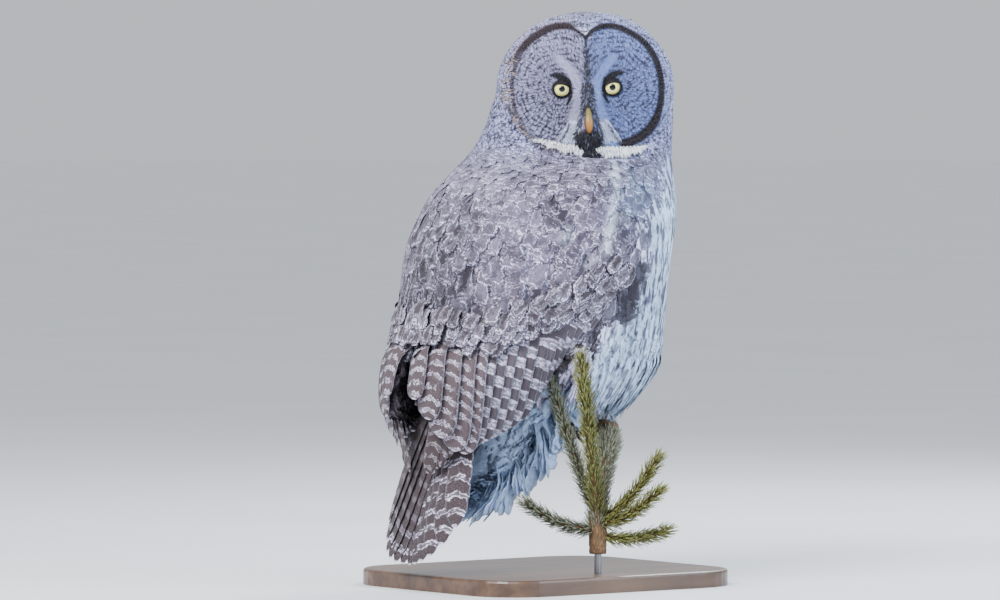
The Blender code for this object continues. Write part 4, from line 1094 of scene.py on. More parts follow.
def zone_marks(blades):
    """Lays the white line of the scapulars and the dark bend of the wing over the feathers there."""
    across, up, shown = seen_spot(blades.points)
    gap, _ = line_distance(across, up, SCAPULAR_LINE)
    other = np.hypot(across + 12, (up - 389) * 0.8)
    white = np.maximum(np.exp(-((gap / 7.5) ** 2)), 0.8 * np.exp(-((other / 10.0) ** 2)))
    white = np.where(shown, white, 0) * (0.25 + 0.75 * blades.seed)
    blades.light = blend_colour(blades.light, SNOW, white)
    gap, share = line_distance(across, up, WING_BEND)
    ragged = 3.5 * np.sin(40 * blades.seed) + 2.5 * np.sin(across * 0.9)
    wisp = lerp(15.0, 9.0, share) + ragged
    bend = np.where(shown, 1 - eased(0.35, 1.45, gap / wisp), 0) * (0.85 + 0.15 * np.cos(25 * blades.seed))
    blades.dark = blend_colour(blades.dark, (0.020, 0.015, 0.020), np.clip(2 * bend, 0, 1))
    blades.light = blend_colour(blades.light, (0.22, 0.22, 0.32), eased(0.2, 0.8, bend))
    blades.mark = lerp(blades.mark - 0.60 * white, 1.0, bend * 0.97)
    return blades


def face_markings(x, y):
    """Pale colour, dark colour, mark and ring distance of the plumage at places on the face."""
    mx, my = x * 1000, y * 1000
    half = np.abs(mx)
    gap = rim_gap(x, y)
    ring = np.hypot(half - EYE_X * 1000, my - EYE_Y * 1000)
    right = eased(-12.0, 16.0, mx)
    light = blend_colour((0.23, 0.225, 0.35), (0.31, 0.305, 0.48), eased(16, 62, ring))
    dark = np.broadcast_to(np.array((0.040, 0.036, 0.062)), light.shape).copy()
    mark = np.zeros(x.shape)
    brow, where = line_distance(half, my, BROW_LINE)
    wide = np.interp(where, (0, 0.3, 0.55, 0.8, 1), (7.0, 8.0, 6.0, 7.5, 8.5))
    pale = 1 - eased(0.35, 1.15, brow / wide)
    light = blend_colour(light, (0.35, 0.345, 0.51), pale)
    mark = lerp(mark, -0.72, pale)
    lobe, where = line_distance(half, my, LOBE_LINE)
    inside = 1 - eased(0.7, 1.05, lobe / lerp(4.0, 12.0, where))
    light = blend_colour(light, (0.44, 0.50, 0.74), inside)
    mark = lerp(mark, -0.65, inside)
    comma, where = line_distance(half, my, COMMA_LINE)
    wide = np.interp(where, np.linspace(0, 1, len(COMMA_WIDTH)), COMMA_WIDTH)
    black = 1 - eased(0.60, 1.22, comma / wide)
    round_eye = np.hypot(half - EYE_X * 1000, (my - EYE_Y * 1000 + 1.0) * 1.05)
    black = np.maximum(black, (1 - eased(10.4, 12.2, round_eye)) * 0.88)
    corner = np.hypot((half - 25.2) / 9.0, (my - 4.0) / 8.8)
    black = np.maximum(black, 1 - eased(0.85, 1.1, corner))
    middle, where = line_distance(half, my, MIDLINE)
    wide = np.interp(where, np.linspace(0, 1, len(MIDLINE_WIDTH)), MIDLINE_WIDTH)
    black = np.maximum(black, (1 - eased(0.3, 1.3, middle / wide)) * lerp(0.72, 0.88, where))
    chin = (1 - eased(9.0, 12.5, half + 0.25 * (my + 56))) * (1 - eased(-54.0, -50.0, my))
    black = np.maximum(black, chin)
    low = eased(-20.0, -50.0, my)
    high_left = eased(22.0, 36.0, my) * (1 - right) * eased(8.0, 16.0, half)
    wide = 3.2 + 1.3 * right + 2.2 * right * low + 1.6 * high_left
    rim = 1 - eased(0.6, 1.15, np.abs(gap + 0.4 - 1.6 * high_left) / wide)
    rim *= 1 - eased(36.0, 30.0, half) * (my < 0)
    strong = np.maximum(lerp(0.68, 0.97, right), eased(30.0, 45.0, my) * 0.95)
    strong = strong * lerp(1.0, 0.70, (1 - right) * low)
    outer = eased(1.0, 3.5, gap)
    light = blend_colour(light, (0.44, 0.43, 0.66), outer)
    russet = outer * high_left * (1 - eased(4.5, 8.5, gap))
    light = blend_colour(light, (0.15, 0.105, 0.14), russet)
    notch = np.exp(-((half / 6.0) ** 2) - ((my - 60) / 8.0) ** 2)
    light = blend_colour(light, (0.74, 0.76, 1.0), notch)
    # Painted shade: the face's right half, as seen from in front, is darkened and tinted blue for the cool
    # shade that lies over it, less so outside the rim.
    light = light * blend_colour((1.0, 1.0, 1.0), (0.55, 0.74, 1.05), right * (1 - 0.5 * outer))
    mark = lerp(mark, 1.0, black)
    mark = lerp(mark, 1.0, 1 - (1 - rim * strong) ** 1.7)
    dark = blend_colour(dark, INK, black)
    rim_tone = blend_colour((0.022, 0.013, 0.017), (0.013, 0.009, 0.013), right)
    dark = blend_colour(dark, rim_tone, rim * (1 - black))
    return light, dark, mark, ring


def face_heading(x, y):
    """The lie of the face's feathers: away from the eyes, up the brow and down round the bill."""
    side = np.where(x >= 0, 1.0, -1.0)
    half = np.abs(x)
    from_eye = unit(np.stack((half - EYE_X, y - EYE_Y), -1))
    upward = unit(np.stack((0.30 + 8 * half, np.ones_like(x)), -1))
    downward = unit(np.stack((0.15 + 22 * half, -np.ones_like(x)), -1))
    between = np.exp(-((half / 0.011) ** 2))
    inner = np.where((y > -0.012)[..., None], upward, downward)
    share = np.clip(between, 0, 1)
    beard = np.exp(-(((half - 0.016) / 0.016) ** 2)) * (1 - eased(-0.034, -0.022, y))
    share = np.maximum(share, beard)[..., None]
    heading = unit(from_eye * (1 - share) + inner * share)
    return np.stack((heading[..., 0] * side, heading[..., 1]), -1)


def face_tract(x, y, length, half_width, draw, heading=None, stations=5, sink=0.0012, rise=0.0006,
               flare=0.0008, bow=0.0, shape=contour_shape, **blade):
    """Feathers laid on the face from places given in its own axes."""
    share = np.linspace(0, 1, stations)
    length = np.broadcast_to(length, x.shape)
    heading = face_heading(x, y) if heading is None else heading
    px, py = x[:, None] + 0 * share, y[:, None] + 0 * share
    px = px + heading[:, :1] * length[:, None] * share
    py = py + heading[:, 1:] * length[:, None] * share
    out = -sink + (sink + rise) * eased(0.0, 0.6, share) + flare * share**2
    out = out + bow * np.sin(math.pi * share) + draw.normal(0, 0.00016, (len(x), 1))
    place, normal = face_points(px, py, out)
    path, normal = from_head(place), normal @ HEAD[:3, :3].T
    widths = np.broadcast_to(half_width, x.shape) * draw.uniform(0.85, 1.15, len(x))
    made = Blades(path, normal, widths, shape(share), draw, **blade)
    here = to_head(made.points)
    light, dark, mark, ring = face_markings(here[..., 0], here[..., 1])
    return made.paint(light, dark, mark, ring)


def in_eye(x, y, grow=1.0):
    across = (np.abs(x) - EYE_X) / 0.0092
    return np.hypot(across, (y - EYE_Y + 0.0014) / 0.0080) < grow


def facial_disc():
    """Short feathers in the two bowls of the face, set close and running out from the eyes."""
    draw = np.random.default_rng(11)
    spots = draw.uniform((-0.092, -0.072, 0), (0.092, 0.080, 0), (120000, 3))
    spots[:, 2] = 0
    x, y = spots[:, 0], spots[:, 1]
    inside = (rim_gap(x, y) < 2.0) & ~in_eye(x, y, 1.10)
    inside &= ~((np.abs(x) < 0.0042) & (y < -0.025) & (y > -0.050))
    spots = spots[inside]
    from_eye = np.hypot(np.abs(spots[:, 0]) - EYE_X, spots[:, 1] - EYE_Y)
    spots = thinned(spots, lerp(0.00150, 0.00200, eased(0.010, 0.040, from_eye)))
    x, y = spots[:, 0], spots[:, 1]
    grown = eased(0.010, 0.040, np.hypot(np.abs(x) - EYE_X, y - EYE_Y))
    heading = face_heading(x, y)
    turn = draw.normal(0, 0.15, len(x))
    heading = np.stack((
        heading[:, 0] * np.cos(turn) - heading[:, 1] * np.sin(turn),
        heading[:, 0] * np.sin(turn) + heading[:, 1] * np.cos(turn),
    ), -1)
    length = lerp(0.0046, 0.0075, grown) * draw.uniform(0.85, 1.15, len(x))
    return face_tract(x, y, length, lerp(0.00155, 0.00240, grown), draw, heading, stations=5,
                      sink=0.0003, rise=0.0003, flare=0.0001, camber=0.08, thick=0.00012, fray=0.15)


def along_line(line, shares):
    at = shares * (len(line) - 1)
    low = np.minimum(at.astype(int), len(line) - 2)
    t = (at - low)[:, None]
    return lerp(line[low], line[low + 1], t), unit(line[low + 1] - line[low])


def face_tufts(surface, x, y, heading, length, half_width, draw, **options):
    """Tufts rooted on the finished form under the face, each pointing its own way in the head's axes."""
    roots = from_head(face_points(x, y)[0])
    way = np.column_stack((heading, np.zeros(len(x)))) @ HEAD[:3, :3].T
    return tract(surface, roots, lambda here, normal: way, length, half_width, draw, **options)


def hanging_tufts(surface, x, y, heading, length, half_width, draw, forward=0.003, bow=0.0015):
    """Tufts that stand clear of the form under the face, straight down or aslant in the head's axes."""
    place, _ = surface.snap(from_head(face_points(x, y)[0]))
    way = np.column_stack((heading, np.full(len(x), 0.05))) @ HEAD[:3, :3].T
    share = np.linspace(0, 1, 5)
    out = (forward * eased(-0.3, 0.3, share) + bow * np.sin(math.pi * share))[None, :, None]
    lift = draw.normal(0, 0.0006, len(x))[:, None, None]
    path = place[:, None] + way[:, None] * (length[:, None] * share)[..., None] + HEAD[:3, 2] * (out + lift)
    normal = np.broadcast_to(HEAD[:3, 2], path.shape)
    widths = half_width * draw.uniform(0.8, 1.2, len(x))
    return Blades(path, normal, widths, plume_shape(share), draw, camber=0.25, thick=0.0002, fray=0.3)


def painted(tufts, pale, dark, mark, draw, spread=(0.9, 1.05)):
    shade = draw.uniform(*spread, tufts.count)[:, None]
    return tufts.paint(light=np.array(pale) * shade, dark=np.tile(dark, (tufts.count, 1)),
                       mark=np.full(tufts.count, mark))


def brow_tufts():
    """The pale crescents between the eyes and the bill: fine bristles that lie forward."""
    draw = np.random.default_rng(12)
    made = []
    for side in (-1, 1):
        count = 900
        spot, ahead = along_line(BROW_LINE / 1000, draw.random(count))
        off = draw.normal(0, 0.0030, count)
        x = side * np.maximum(0.0030, spot[:, 0] + off * ahead[:, 1])
        y = spot[:, 1] - off * ahead[:, 0]
        upper = eased(-0.010, 0.004, y)
        way = lerp(np.array((0.42, -0.91)), np.array((0.52, 0.86)), upper[:, None])
        way = unit(way + draw.normal(0, 0.12, (count, 2))) * (side, 1)
        keep = ~in_eye(x, y, 1.3) & ~in_eye(x + way[:, 0] * 0.009, y + way[:, 1] * 0.009, 1.2)
        x, y, way = x[keep], y[keep], way[keep]
        tufts = face_tract(x, y, draw.uniform(0.006, 0.010, len(x)), 0.00075, draw, way, sink=0.001,
                           rise=0.0007, flare=0.0007, shape=plume_shape, camber=0.3)
        made.append(tufts)
    return made


def midline_tufts():
    """Short black and grey feathers down the middle of the face, thickest over the bill's root."""
    draw = np.random.default_rng(14)
    count = 560
    y = lerp(0.046, -0.0275, draw.random(count) ** 0.55)
    spread = np.interp(y, (-0.028, -0.016, -0.004, 0.008, 0.020, 0.052),
                       (0.0046, 0.0032, 0.0034, 0.0016, 0.0007, 0.0005))
    x = draw.normal(0, 1, count).clip(-1.6, 1.6) * spread
    way = np.where(y > 0.006, 1.0, -1.0)
    heading = unit(np.stack((x * 90, way), -1) + draw.normal(0, 0.34, (count, 2)))
    low = eased(-0.012, -0.024, y)
    tufts = face_tract(x, y, draw.uniform(0.0030, 0.0055, count), 0.00055, draw, heading, stations=6,
                       sink=0.0008, rise=0.0008, flare=0.0007, bow=0.0005, shape=plume_shape, camber=0.25)
    lift = (low * 0.0022)[:, None, None, None] * tufts.share[..., None]
    tufts.points = tufts.points + HEAD[:3, 2] * lift
    painted(tufts, (0.19, 0.20, 0.29), (0.012, 0.010, 0.014), 0.9, draw, (0.8, 1.2))
    tufts.mark[draw.random(count) < 0.34] = 0.1
    return tufts


# The white tufts below the chin, in mm in the head's axes: across, up, and how tall the band is there.
TIE_LEFT = (
    (-62, -56.4, 2), (-52, -58.9, 6), (-40, -63.0, 10), (-28, -67.0, 12), (-15, -70.2, 14), (-9, -70.6, 12),
)
TIE_RIGHT = (
    (7, -69.4, 11), (15.5, -72.4, 15), (27, -74, 16), (39, -74, 15), (50, -72, 11), (60, -70.0, 4),
)


def by_bow_tie(local):
    """Whether a place is under the white tufts or the black bib, where no other feathers grow."""
    x, y = local[:, 0] * 1000, local[:, 1] * 1000
    inside = (np.abs(x) < 10) & (y < -48) & (y > -75)
    for line in (TIE_LEFT, TIE_RIGHT):
        line = np.array(line)
        gap, where = line_distance(x, y, line[:, :2])
        inside |= gap < np.interp(where, np.linspace(0, 1, len(line)), line[:, 2]) * 0.5 - 1.5
    return inside & (local[:, 2] > 0.0)


def moustache(surface):
    """Pale lobes that hang beside the bill, with a few dark whiskers."""
    made = []
    for side in (-1, 1):
        draw = np.random.default_rng(31 + side)
        count = 650
        t, s = draw.random(count), draw.uniform(-1, 1, count)
        x = side * (lerp(0.0150, 0.0200, t) + s * lerp(0.003, 0.0110, t))
        y = lerp(-0.033, -0.054, t) + draw.normal(0, 0.001, count)
        heading = unit(np.stack((0.30 + 0.32 * s, -np.ones(count)), -1) + draw.normal(0, 0.09, (count, 2)))
        lobe = face_tufts(surface, x, y, heading * (side, 1), draw.uniform(0.008, 0.0115, count), 0.00105,
                          draw, stations=5, shape=plume_shape, sink=0.0005, rise=0.0010, flare=0.0008,
                          turn=0.0, steps=3, camber=0.2)
        lobe = painted(lobe, (0.54, 0.58, 0.78), (0.10, 0.10, 0.14), 0.0, draw, (0.8, 1.1))
        lobe.mark[draw.random(count) < 0.08] = 0.7
        made.append(lobe)
        # Dark whiskers lie between the bill and the lobe, and along the lobe's outer edge.
        count = 120
        t = draw.random(count)
        outer = draw.random(count) < 0.5
        x = side * np.where(outer, lerp(0.0180, 0.0320, t), lerp(0.0070, 0.0125, t))
        y = np.where(outer, lerp(-0.037, -0.060, t), lerp(-0.032, -0.050, t)) + draw.normal(0, 0.0012, count)
        heading = unit(np.stack((np.where(outer, 0.52, 0.45), -np.ones(count)), -1)
                       + draw.normal(0, 0.22, (count, 2)))
        dark = face_tufts(surface, x, y, heading * (side, 1), draw.uniform(0.005, 0.009, count), 0.00042,
                          draw, stations=5, shape=plume_shape, sink=0.0005, rise=0.0014, flare=0.0012,
                          turn=0.0, steps=3, camber=0.3)
        made.append(painted(dark, (0.16, 0.17, 0.22), (0.04, 0.04, 0.055), 0.6, draw, (0.6, 1.3)))
    return made


def chin_and_bow_tie(surface):
    """The black bib under the bill, and the white tufts to either side of it."""
    made = []
    draw = np.random.default_rng(41)
    count = 600
    t = draw.random(count)
    x = draw.normal(0.0, 0.55, count).clip(-1.1, 1.1) * lerp(0.0125, 0.0065, t)
    y = lerp(-0.0480, -0.0730, t)
    heading = unit(np.stack((x * 40, -np.ones(count)), -1) + draw.normal(0, 0.35, (count, 2)))
    bib = hanging_tufts(surface, x, y, heading, draw.uniform(0.004, 0.011, count), 0.00085, draw, 0.0050)
    bib = painted(bib, (0.16, 0.17, 0.22), (0.007, 0.006, 0.008), 0.92, draw)
    bib.mark[draw.random(count) < 0.10] = 0.3
    made.append(bib)
    for number, line in enumerate((TIE_LEFT, TIE_RIGHT)):
        draw = np.random.default_rng(45 + number)
        count = 1650
        x, middle, tall = resampled(line, 200)[draw.integers(0, 200, count)].T
        lock = np.round(x / 2.6)
        x = x + draw.normal(0, 0.5, count)
        tuft = np.minimum(tall * 0.75, 8.0) * draw.uniform(0.6, 1.1, count)
        reach = tall * (0.5 + 0.17 * np.sin(lock * 7.3) + 0.12 * np.sin(lock * 2.9))
        bottom = middle - reach + np.abs(draw.normal(0, 0.7, count))
        y = lerp(bottom + tuft, middle + tall / 2 + 0.6 * np.sin(x * 1.7), draw.random(count))
        slant = np.sign(x) * lerp(-0.05, 0.45, eased(15, 60, np.abs(x))) + 0.12 * np.sin(lock * 5.1)
        slant += (lock * 2.6 - x) * 0.16
        heading = unit(np.stack((slant, -np.ones(count)), -1) + draw.normal(0, 0.07, (count, 2)))
        tie = hanging_tufts(surface, x / 1000, y / 1000, heading, tuft / 1000, 0.00115, draw, 0.0050, 0.0018)
        tie = painted(tie, (0.97, 0.985, 1.0), (0.30, 0.33, 0.45), 0.0, draw, (0.80, 1.0))
        tie.mark[draw.random(count) < 0.06] = 0.7
        made.append(tie)
    return made


def ruff():
    """The stiff dark rim round the facial disc, and the speckled feathers just outside it."""
    made = []
    draw = np.random.default_rng(51)
    whole = np.concatenate((RIM_LINE[::-1] * (-1, 1), RIM_LINE[1:]))
    fine = resampled(whole, 4000) / 1000
    run = np.concatenate(([0], np.cumsum(np.linalg.norm(np.diff(fine, axis=0), axis=1))))
    ahead = unit(np.gradient(fine, axis=0))
    outward = np.stack((-ahead[:, 1], ahead[:, 0]), -1)
    for shift, length, wide, gap in ((-0.0030, 0.0052, 0.0012, 0.0011), (-0.0008, 0.0052, 0.0012, 0.0010),
                                     (0.0016, 0.0060, 0.0013, 0.0012), (0.0040, 0.0070, 0.0015, 0.0014)):
        chosen = np.unique((run / gap).astype(int), return_index=True)[1]
        spot = fine[chosen] + outward[chosen] * shift + draw.normal(0, 0.0005, (len(chosen), 2))
        heading = unit(outward[chosen] + draw.normal(0, 0.2, (len(chosen), 2)))
        keep = (spot[:, 1] > -0.058) | (np.abs(spot[:, 0]) > 0.036)
        spot, heading = spot[keep], heading[keep]
        rim = face_tract(spot[:, 0], spot[:, 1], length * draw.uniform(0.8, 1.2, len(spot)), wide, draw,
                         heading, stations=6, sink=0.001, rise=0.0010, flare=0.0008, camber=0.2, fray=0.3)
        # To the left of the bill the rim is dotted, buff between the dark feathers.
        dots = (rim.points[:, 0, 0] @ HEAD[:3, 0] - HEAD[:3, 3] @ HEAD[:3, 0] < -0.03) & (
            draw.random(rim.count) < 0.45) & (spot[:, 1] < 0.032)
        rim.mark[dots] = np.minimum(rim.mark[dots], 0.15)
        rim.light[dots] = np.array((0.32, 0.255, 0.235))
        made.append(rim)
    return made


# Feather tracts of the body

def head_radius(points):
    where = region(points)
    free = where["head"] & ~where["face"] & ~by_bow_tie(where["local"])
    behind = np.maximum(0.04 - where["local"][:, 2], 0) * 900
    return np.where(free, lerp(0.0029, 0.0044, eased(2.0, 40.0, where["gap"] + behind)), 0.0)


def head_coat(surface):
    draw = np.random.default_rng(61)
    roots = surface.scatter(head_radius, 62)
    near = np.clip(head_radius(roots), 0.0029, 0.0044)
    made = tract(surface, roots, body_flow, near * 3.6, near * 1.35, draw, stations=8, sink=0.0010,
                 rise=0.0002, flare=0.0001, columns=3, camber=0.06, thick=0.0002, fray=0.25, turn=0.16)
    return made.paint(*coat_tone(roots, draw))


def mantle_radius(points):
    where = region(points)
    height = where["height"]
    zone = (where["degrees"] > where["lead"] - 2) & ~where["head"] & ~where["vent"] & ~where["feet"]
    zone &= (height > 0.285) & ~by_bow_tie(where["local"])
    size = np.interp(height, (0.29, 0.36, 0.40, 0.44, 0.487), (0.0125, 0.0120, 0.0105, 0.0075, 0.0042))
    return np.where(zone, size, 0.0)


def mantle_coat(surface):
    """Mantle, scapulars and smaller wing coverts: brown-centred cells with pale, finely lined fringes."""
    draw = np.random.default_rng(71)
    roots = surface.scatter(mantle_radius, 72, 9.0)
    size = np.clip(mantle_radius(roots), 0.0042, 0.0125) * draw.uniform(0.80, 1.2, len(roots))
    made = tract(surface, roots, body_flow, size * 3.1, size * 1.12, draw, stations=12, sink=0.0016,
                 rise=0.0003, flare=0.0001, columns=5, camber=0.06, thick=0.0002, fray=0.34, sweep=0.4,
                 turn=0.26)
    made.paint(*coat_tone(roots, draw), extra=draw.random(len(roots)) ** 1.6 * 1.3)
    return zone_marks(made)


def bed_coat(surface):
    """Dark feathers on the wings' beds and the rump, which show only between the long feathers."""
    def radius(points):
        where = region(points)
        zone = where["behind"] & (where["height"] <= 0.292) & ~where["feet"] & ~where["vent"]
        return np.where(zone, 0.0085, 0.0)

    draw = np.random.default_rng(76)
    roots = surface.scatter(radius, 77)
    made = tract(surface, roots, body_flow, 0.028, 0.0095, draw, stations=7, sink=0.0016, rise=0.0003,
                 flare=0.0001, columns=3, camber=0.06, thick=0.0002, fray=0.3, sweep=0.4, turn=0.2)
    painted(made, (0.22, 0.19, 0.25), (0.026, 0.019, 0.022), 0.0, draw, (0.7, 1.1))
    return made.paint(extra=np.full(len(roots), 0.8))


def breast_radius(points):
    where = region(points)
    height = where["height"]
    zone = (where["degrees"] < where["lead"] + 3) & ~where["head"] & ~where["vent"] & ~where["feet"]
    zone &= ~where["belly"] & ~by_bow_tie(where["local"])
    return np.where(zone, np.interp(height, (0.29, 0.42, 0.487), (0.0064, 0.0056, 0.0038)), 0.0)


def breast_coat(surface):
    draw = np.random.default_rng(81)
    roots = surface.scatter(breast_radius, 82)
    size = np.clip(breast_radius(roots), 0.0038, 0.0064)
    made = tract(surface, roots, body_flow, size * 4.6, size * 1.2, draw, stations=8, sink=0.0014,
                 rise=0.0002, flare=0.0001, columns=5, camber=0.05, thick=0.0002, fray=0.40, sweep=0.7,
                 turn=0.12)
    return zone_marks(made.paint(*coat_tone(roots, draw)))


def belly_radius(points):
    where = region(points)
    zone = where["belly"] & (where["degrees"] < where["lead"] + 8) & ~where["vent"] & ~where["feet"]
    return np.where(zone, 0.0056, 0.0)


def belly_coat(surface):
    """Long soft plumes over the belly, flanks and thighs, whose tips make the ragged lower edge."""
    draw = np.random.default_rng(91)
    roots = surface.scatter(belly_radius, 92)
    made = [tract(surface, roots, body_flow, draw.uniform(0.026, 0.038, len(roots)), 0.0064, draw,
                  stations=12, shape=plume_shape, sink=0.0025, rise=0.0003, flare=0.0006, columns=3,
                  camber=0.08, thick=0.0002, fray=0.55, sweep=0.7, turn=0.14)]
    for row, height, low, count in ((0, 0.262, 0.200, 420), (1, 0.246, 0.195, 380), (2, 0.232, 0.193, 330)):
        bearing = np.radians(draw.uniform(-104, 104, count))
        top = height + draw.uniform(-0.01, 0.01, count)
        ragged = 0.008 * np.sin(bearing * 17) + draw.normal(0, 0.0035, count)
        bottom = low + ragged + 0.012 * np.abs(bearing / 1.6) ** 3
        share = np.linspace(0, 1, 12)
        line = lerp(top[:, None], bottom[:, None], share)
        sway = bearing[:, None] + draw.normal(0, 0.05, (count, 1)) * share
        out = -0.008 - 0.0040 * row + 0.0070 * eased(0, 0.4, share) + draw.normal(0, 0.0008, (count, 1))
        path = ring_points(FRINGE_STATIONS, sway, line, out)
        normal = outline_normals(FRINGE_STATIONS, path)
        made.append(Blades(path, normal, draw.uniform(0.0038, 0.0066, count), plume_shape(share), draw,
                           camber=0.10, thick=0.0002, fray=0.55, sweep=0.8))
    for part in made:
        part.paint(*coat_tone(part.roots, draw))
    return made


def vent_radius(points):
    where = region(points)
    return np.where(where["vent"], 0.0080, 0.0)


def undertail_coat(surface):
    """Broad pale plumes from the vent to the underside of the tail."""
    draw = np.random.default_rng(101)
    roots = surface.scatter(vent_radius, 102)
    made = [tract(surface, roots, vent_flow, draw.uniform(0.034, 0.048, len(roots)), 0.0130, draw,
                  stations=12, sink=0.0020, rise=0.0006, flare=0.0008, columns=5, camber=0.12,
                  thick=0.0002, fray=0.30, sweep=0.5, turn=0.14)]
    for side in (-1, 1):
        for root, tip in UNDERTAIL_LOCKS:
            count = 14
            start = np.array(root) * (side, 1, 1) + draw.normal(0, (0.006, 0.010, 0.005), (count, 3))
            end = np.array(tip) * (side, 1, 1) + draw.normal(0, (0.004, 0.007, 0.005), (count, 3))
            bow = unit(np.array((side * (0.25 + 14 * root[0]), -0.45, -0.25)))
            share = np.linspace(0, 1, 12)[None, :, None]
            path = lerp(start[:, None], end[:, None], share) + bow * 0.008 * np.sin(math.pi * share)
            normal = np.broadcast_to(bow, path.shape)
            made.append(Blades(path, normal, draw.uniform(0.0120, 0.0165, count),
                               contour_shape(share[0, :, 0], 0.6, 0.60, 0.20), draw, columns=7,
                               camber=0.10, thick=0.0002, fray=0.30, sweep=0.3,
                               tilt=draw.normal(0, 0.15, count)))
    for part in made:
        shade = draw.uniform(0.85, 1.10, part.count)[:, None]
        # The plumes' blue is a painted cast of the cool shade that lies under the tail.
        part.paint(light=np.array((0.50, 0.65, 0.92)) * shade,
                   dark=np.tile((0.085, 0.095, 0.130), (part.count, 1)))
    return made


def feet_radius(points):
    where = region(points)
    return np.where(where["feet"], 0.0027, 0.0)


def feet_coat(surface):
    draw = np.random.default_rng(111)
    roots = surface.scatter(feet_radius, 112)
    made = tract(surface, roots, feet_flow, draw.uniform(0.006, 0.010, len(roots)), 0.0013, draw,
                 stations=5, shape=plume_shape, sink=0.0012, rise=0.0005, flare=0.0012, steps=3,
                 camber=0.3, turn=0.3)
    shade = draw.uniform(0.8, 1.1, len(roots))[:, None]
    return made.paint(light=np.array((0.60, 0.61, 0.66)) * shade,
                      dark=np.broadcast_to(np.array((0.22, 0.21, 0.22)), (len(roots), 3)))


FLIGHT_TIPS = (
    (4, 286, 36, 11, 0),
    (-8, 275, 33, 11, 5),
    (-21, 260, 29, 11.5, 9),
    (-35, 242, 25, 12, 14),
    (-47, 222, 21, 12.5, 19),
    (-57, 203, 18, 12.5, 1),
    (-66, 187, 15, 12.5, 6),
    (-76, 180, 13, 12.5, 12),
    (-86, 174, 11.5, 12.5, 17),
    (-96, 169, 10.5, 12.5, 22),
    (-106, 164, 9.5, 13, 4),
    (-116, 159, 8.5, 13, 9),
    (-126, 152, 6, 17, 14),
    (-137, 155, 5, 18, 19),
    (-152, 170, 5.5, 19, 3),
    (-166, 190, 6, 17, 11),
    (-181, 212, 7, 14, 15),
)


COVERT_LINE = ((-196, 262), (-172, 268), (-140, 270), (-110, 260), (-87, 267), (-68, 272), (-45, 283),
               (-19, 294), (7, 304), (26, 322), (41, 333))


def covert_height(across):
    line = np.array(COVERT_LINE)
    return np.interp(across, line[:, 0], line[:, 1])


def seen_path(start, end, stations, out):
    """A path over the folded wing between two places that the view shows, in millimetres."""
    share = np.linspace(0, 1, stations)
    at = lerp(np.array(start), np.array(end), share[:, None]) / 1000
    path = np.array([seen_point(*spot) for spot in at])
    normal = outline_normals(WING_STATIONS, path)
    return path + normal * out(share)[:, None], normal


def flight_shape(share):
    return np.interp(share, (0, 0.12, 0.45, 0.80, 0.90, 0.96, 1.0), (0.6, 0.9, 1.0, 0.98, 0.82, 0.52, 0.12))


def flight_feathers(draw):
    """The folded wing's long feathers. Each one's outer strip shows, barred like a ladder."""
    long_ones, tertials = [], []
    for number, (across, height, lean, half_width, shift) in enumerate(FLIGHT_TIPS):
        slant = math.tan(math.radians(lean))
        top = height
        for _ in range(6):
            top = covert_height(across + (top - height) * slant) + 20
        start = (across + (top - height) * slant, top)
        out = lambda t: -0.0115 + 0.0075 * eased(0, 0.4, t) + 0.00016 * number
        path, normal = seen_path(start, (across, height), 30, out)
        vane = Blades(path[None], normal[None], half_width / 1000, flight_shape(np.linspace(0, 1, 30)), draw,
                      columns=7, camber=0.05, thick=0.0004, fray=0.06, sweep=0.25, tilt=-0.12)
        light = (0.66, 0.62, 0.80) if number < 12 else (0.80, 0.75, 0.95)
        dark = (0.074, 0.058, 0.070) if number < 12 else (0.078, 0.055, 0.060)
        vane.paint(np.array([light]) * draw.uniform(0.90, 1.05), np.array([dark]) * draw.uniform(0.80, 1.2),
                   extra=np.array([float(shift)]))
        (long_ones if number < 12 else tertials).append(vane)
    for number, place in enumerate(PRIMARY_TIPS):
        end = np.array(place) * 1000
        start = (end[0] + 12 + 10 * number, 235)
        out = lambda t: -0.013 + (0.0045 - 0.0012 * number) * eased(0, 0.4, t)
        path, normal = seen_path(start, end, 22, out)
        vane = Blades(path[None], normal[None], 0.0110, flight_shape(np.linspace(0, 1, 22)), draw,
                      columns=7, camber=0.06, thick=0.0004, fray=0.05, sweep=0.25)
        tertials.append(vane.paint(np.array([(0.42, 0.38, 0.44)]), np.array([(0.050, 0.034, 0.036)])))
    return long_ones, tertials
COVERT_ROWS = ((0, 0, 14.0, 10.5, 34), (-4, 11, 12.5, 10.0, 32), (-8, 22, 12.5, 9.5, 30))


def greater_coverts(draw):
    """Rows of larger coverts, whose pale scalloped edge overhangs the flight feathers."""
    made = []
    line = np.array(COVERT_LINE, float)
    run = np.concatenate(([0], np.cumsum(np.linalg.norm(np.diff(line, axis=0), axis=1))))
    for row, (aside, above, step, half_width, length) in enumerate(COVERT_ROWS):
        for at in np.arange(step * (0.4 + 0.5 * (row % 2)), run[-1], step):
            tip = np.array([np.interp(at + draw.normal(0, 2.5), run, line[:, axis]) for axis in (0, 1)])
            tip = tip + (aside, above) + draw.normal(0, 3.2, 2)
            lean = math.radians(np.interp(tip[0], (-180, -100, 30), (12, 30, 50)) + draw.normal(0, 8))
            start = tip + length * np.array((math.sin(lean), math.cos(lean)))
            out = lambda t: -0.007 + (0.0078 + 0.0006 * row) * eased(0, 0.5, t) + 0.0005 * t**2
            path, normal = seen_path(start, tip, 18, out)
            vane = Blades(path[None], normal[None], half_width * draw.uniform(0.80, 1.15) / 1000,
                          contour_shape(np.linspace(0, 1, 18)), draw, columns=7, camber=0.09,
                          thick=0.0003, fray=0.30, sweep=0.40, tilt=-0.05)
            light = np.array([(0.80, 0.76, 1.0)]) * draw.uniform(0.85, 1.08)
            made.append(vane.paint(light, np.array([(0.048, 0.038, 0.046)]) * draw.uniform(0.7, 1.3),
                                   extra=draw.uniform(0.3, 1.2, 1)))
    return made


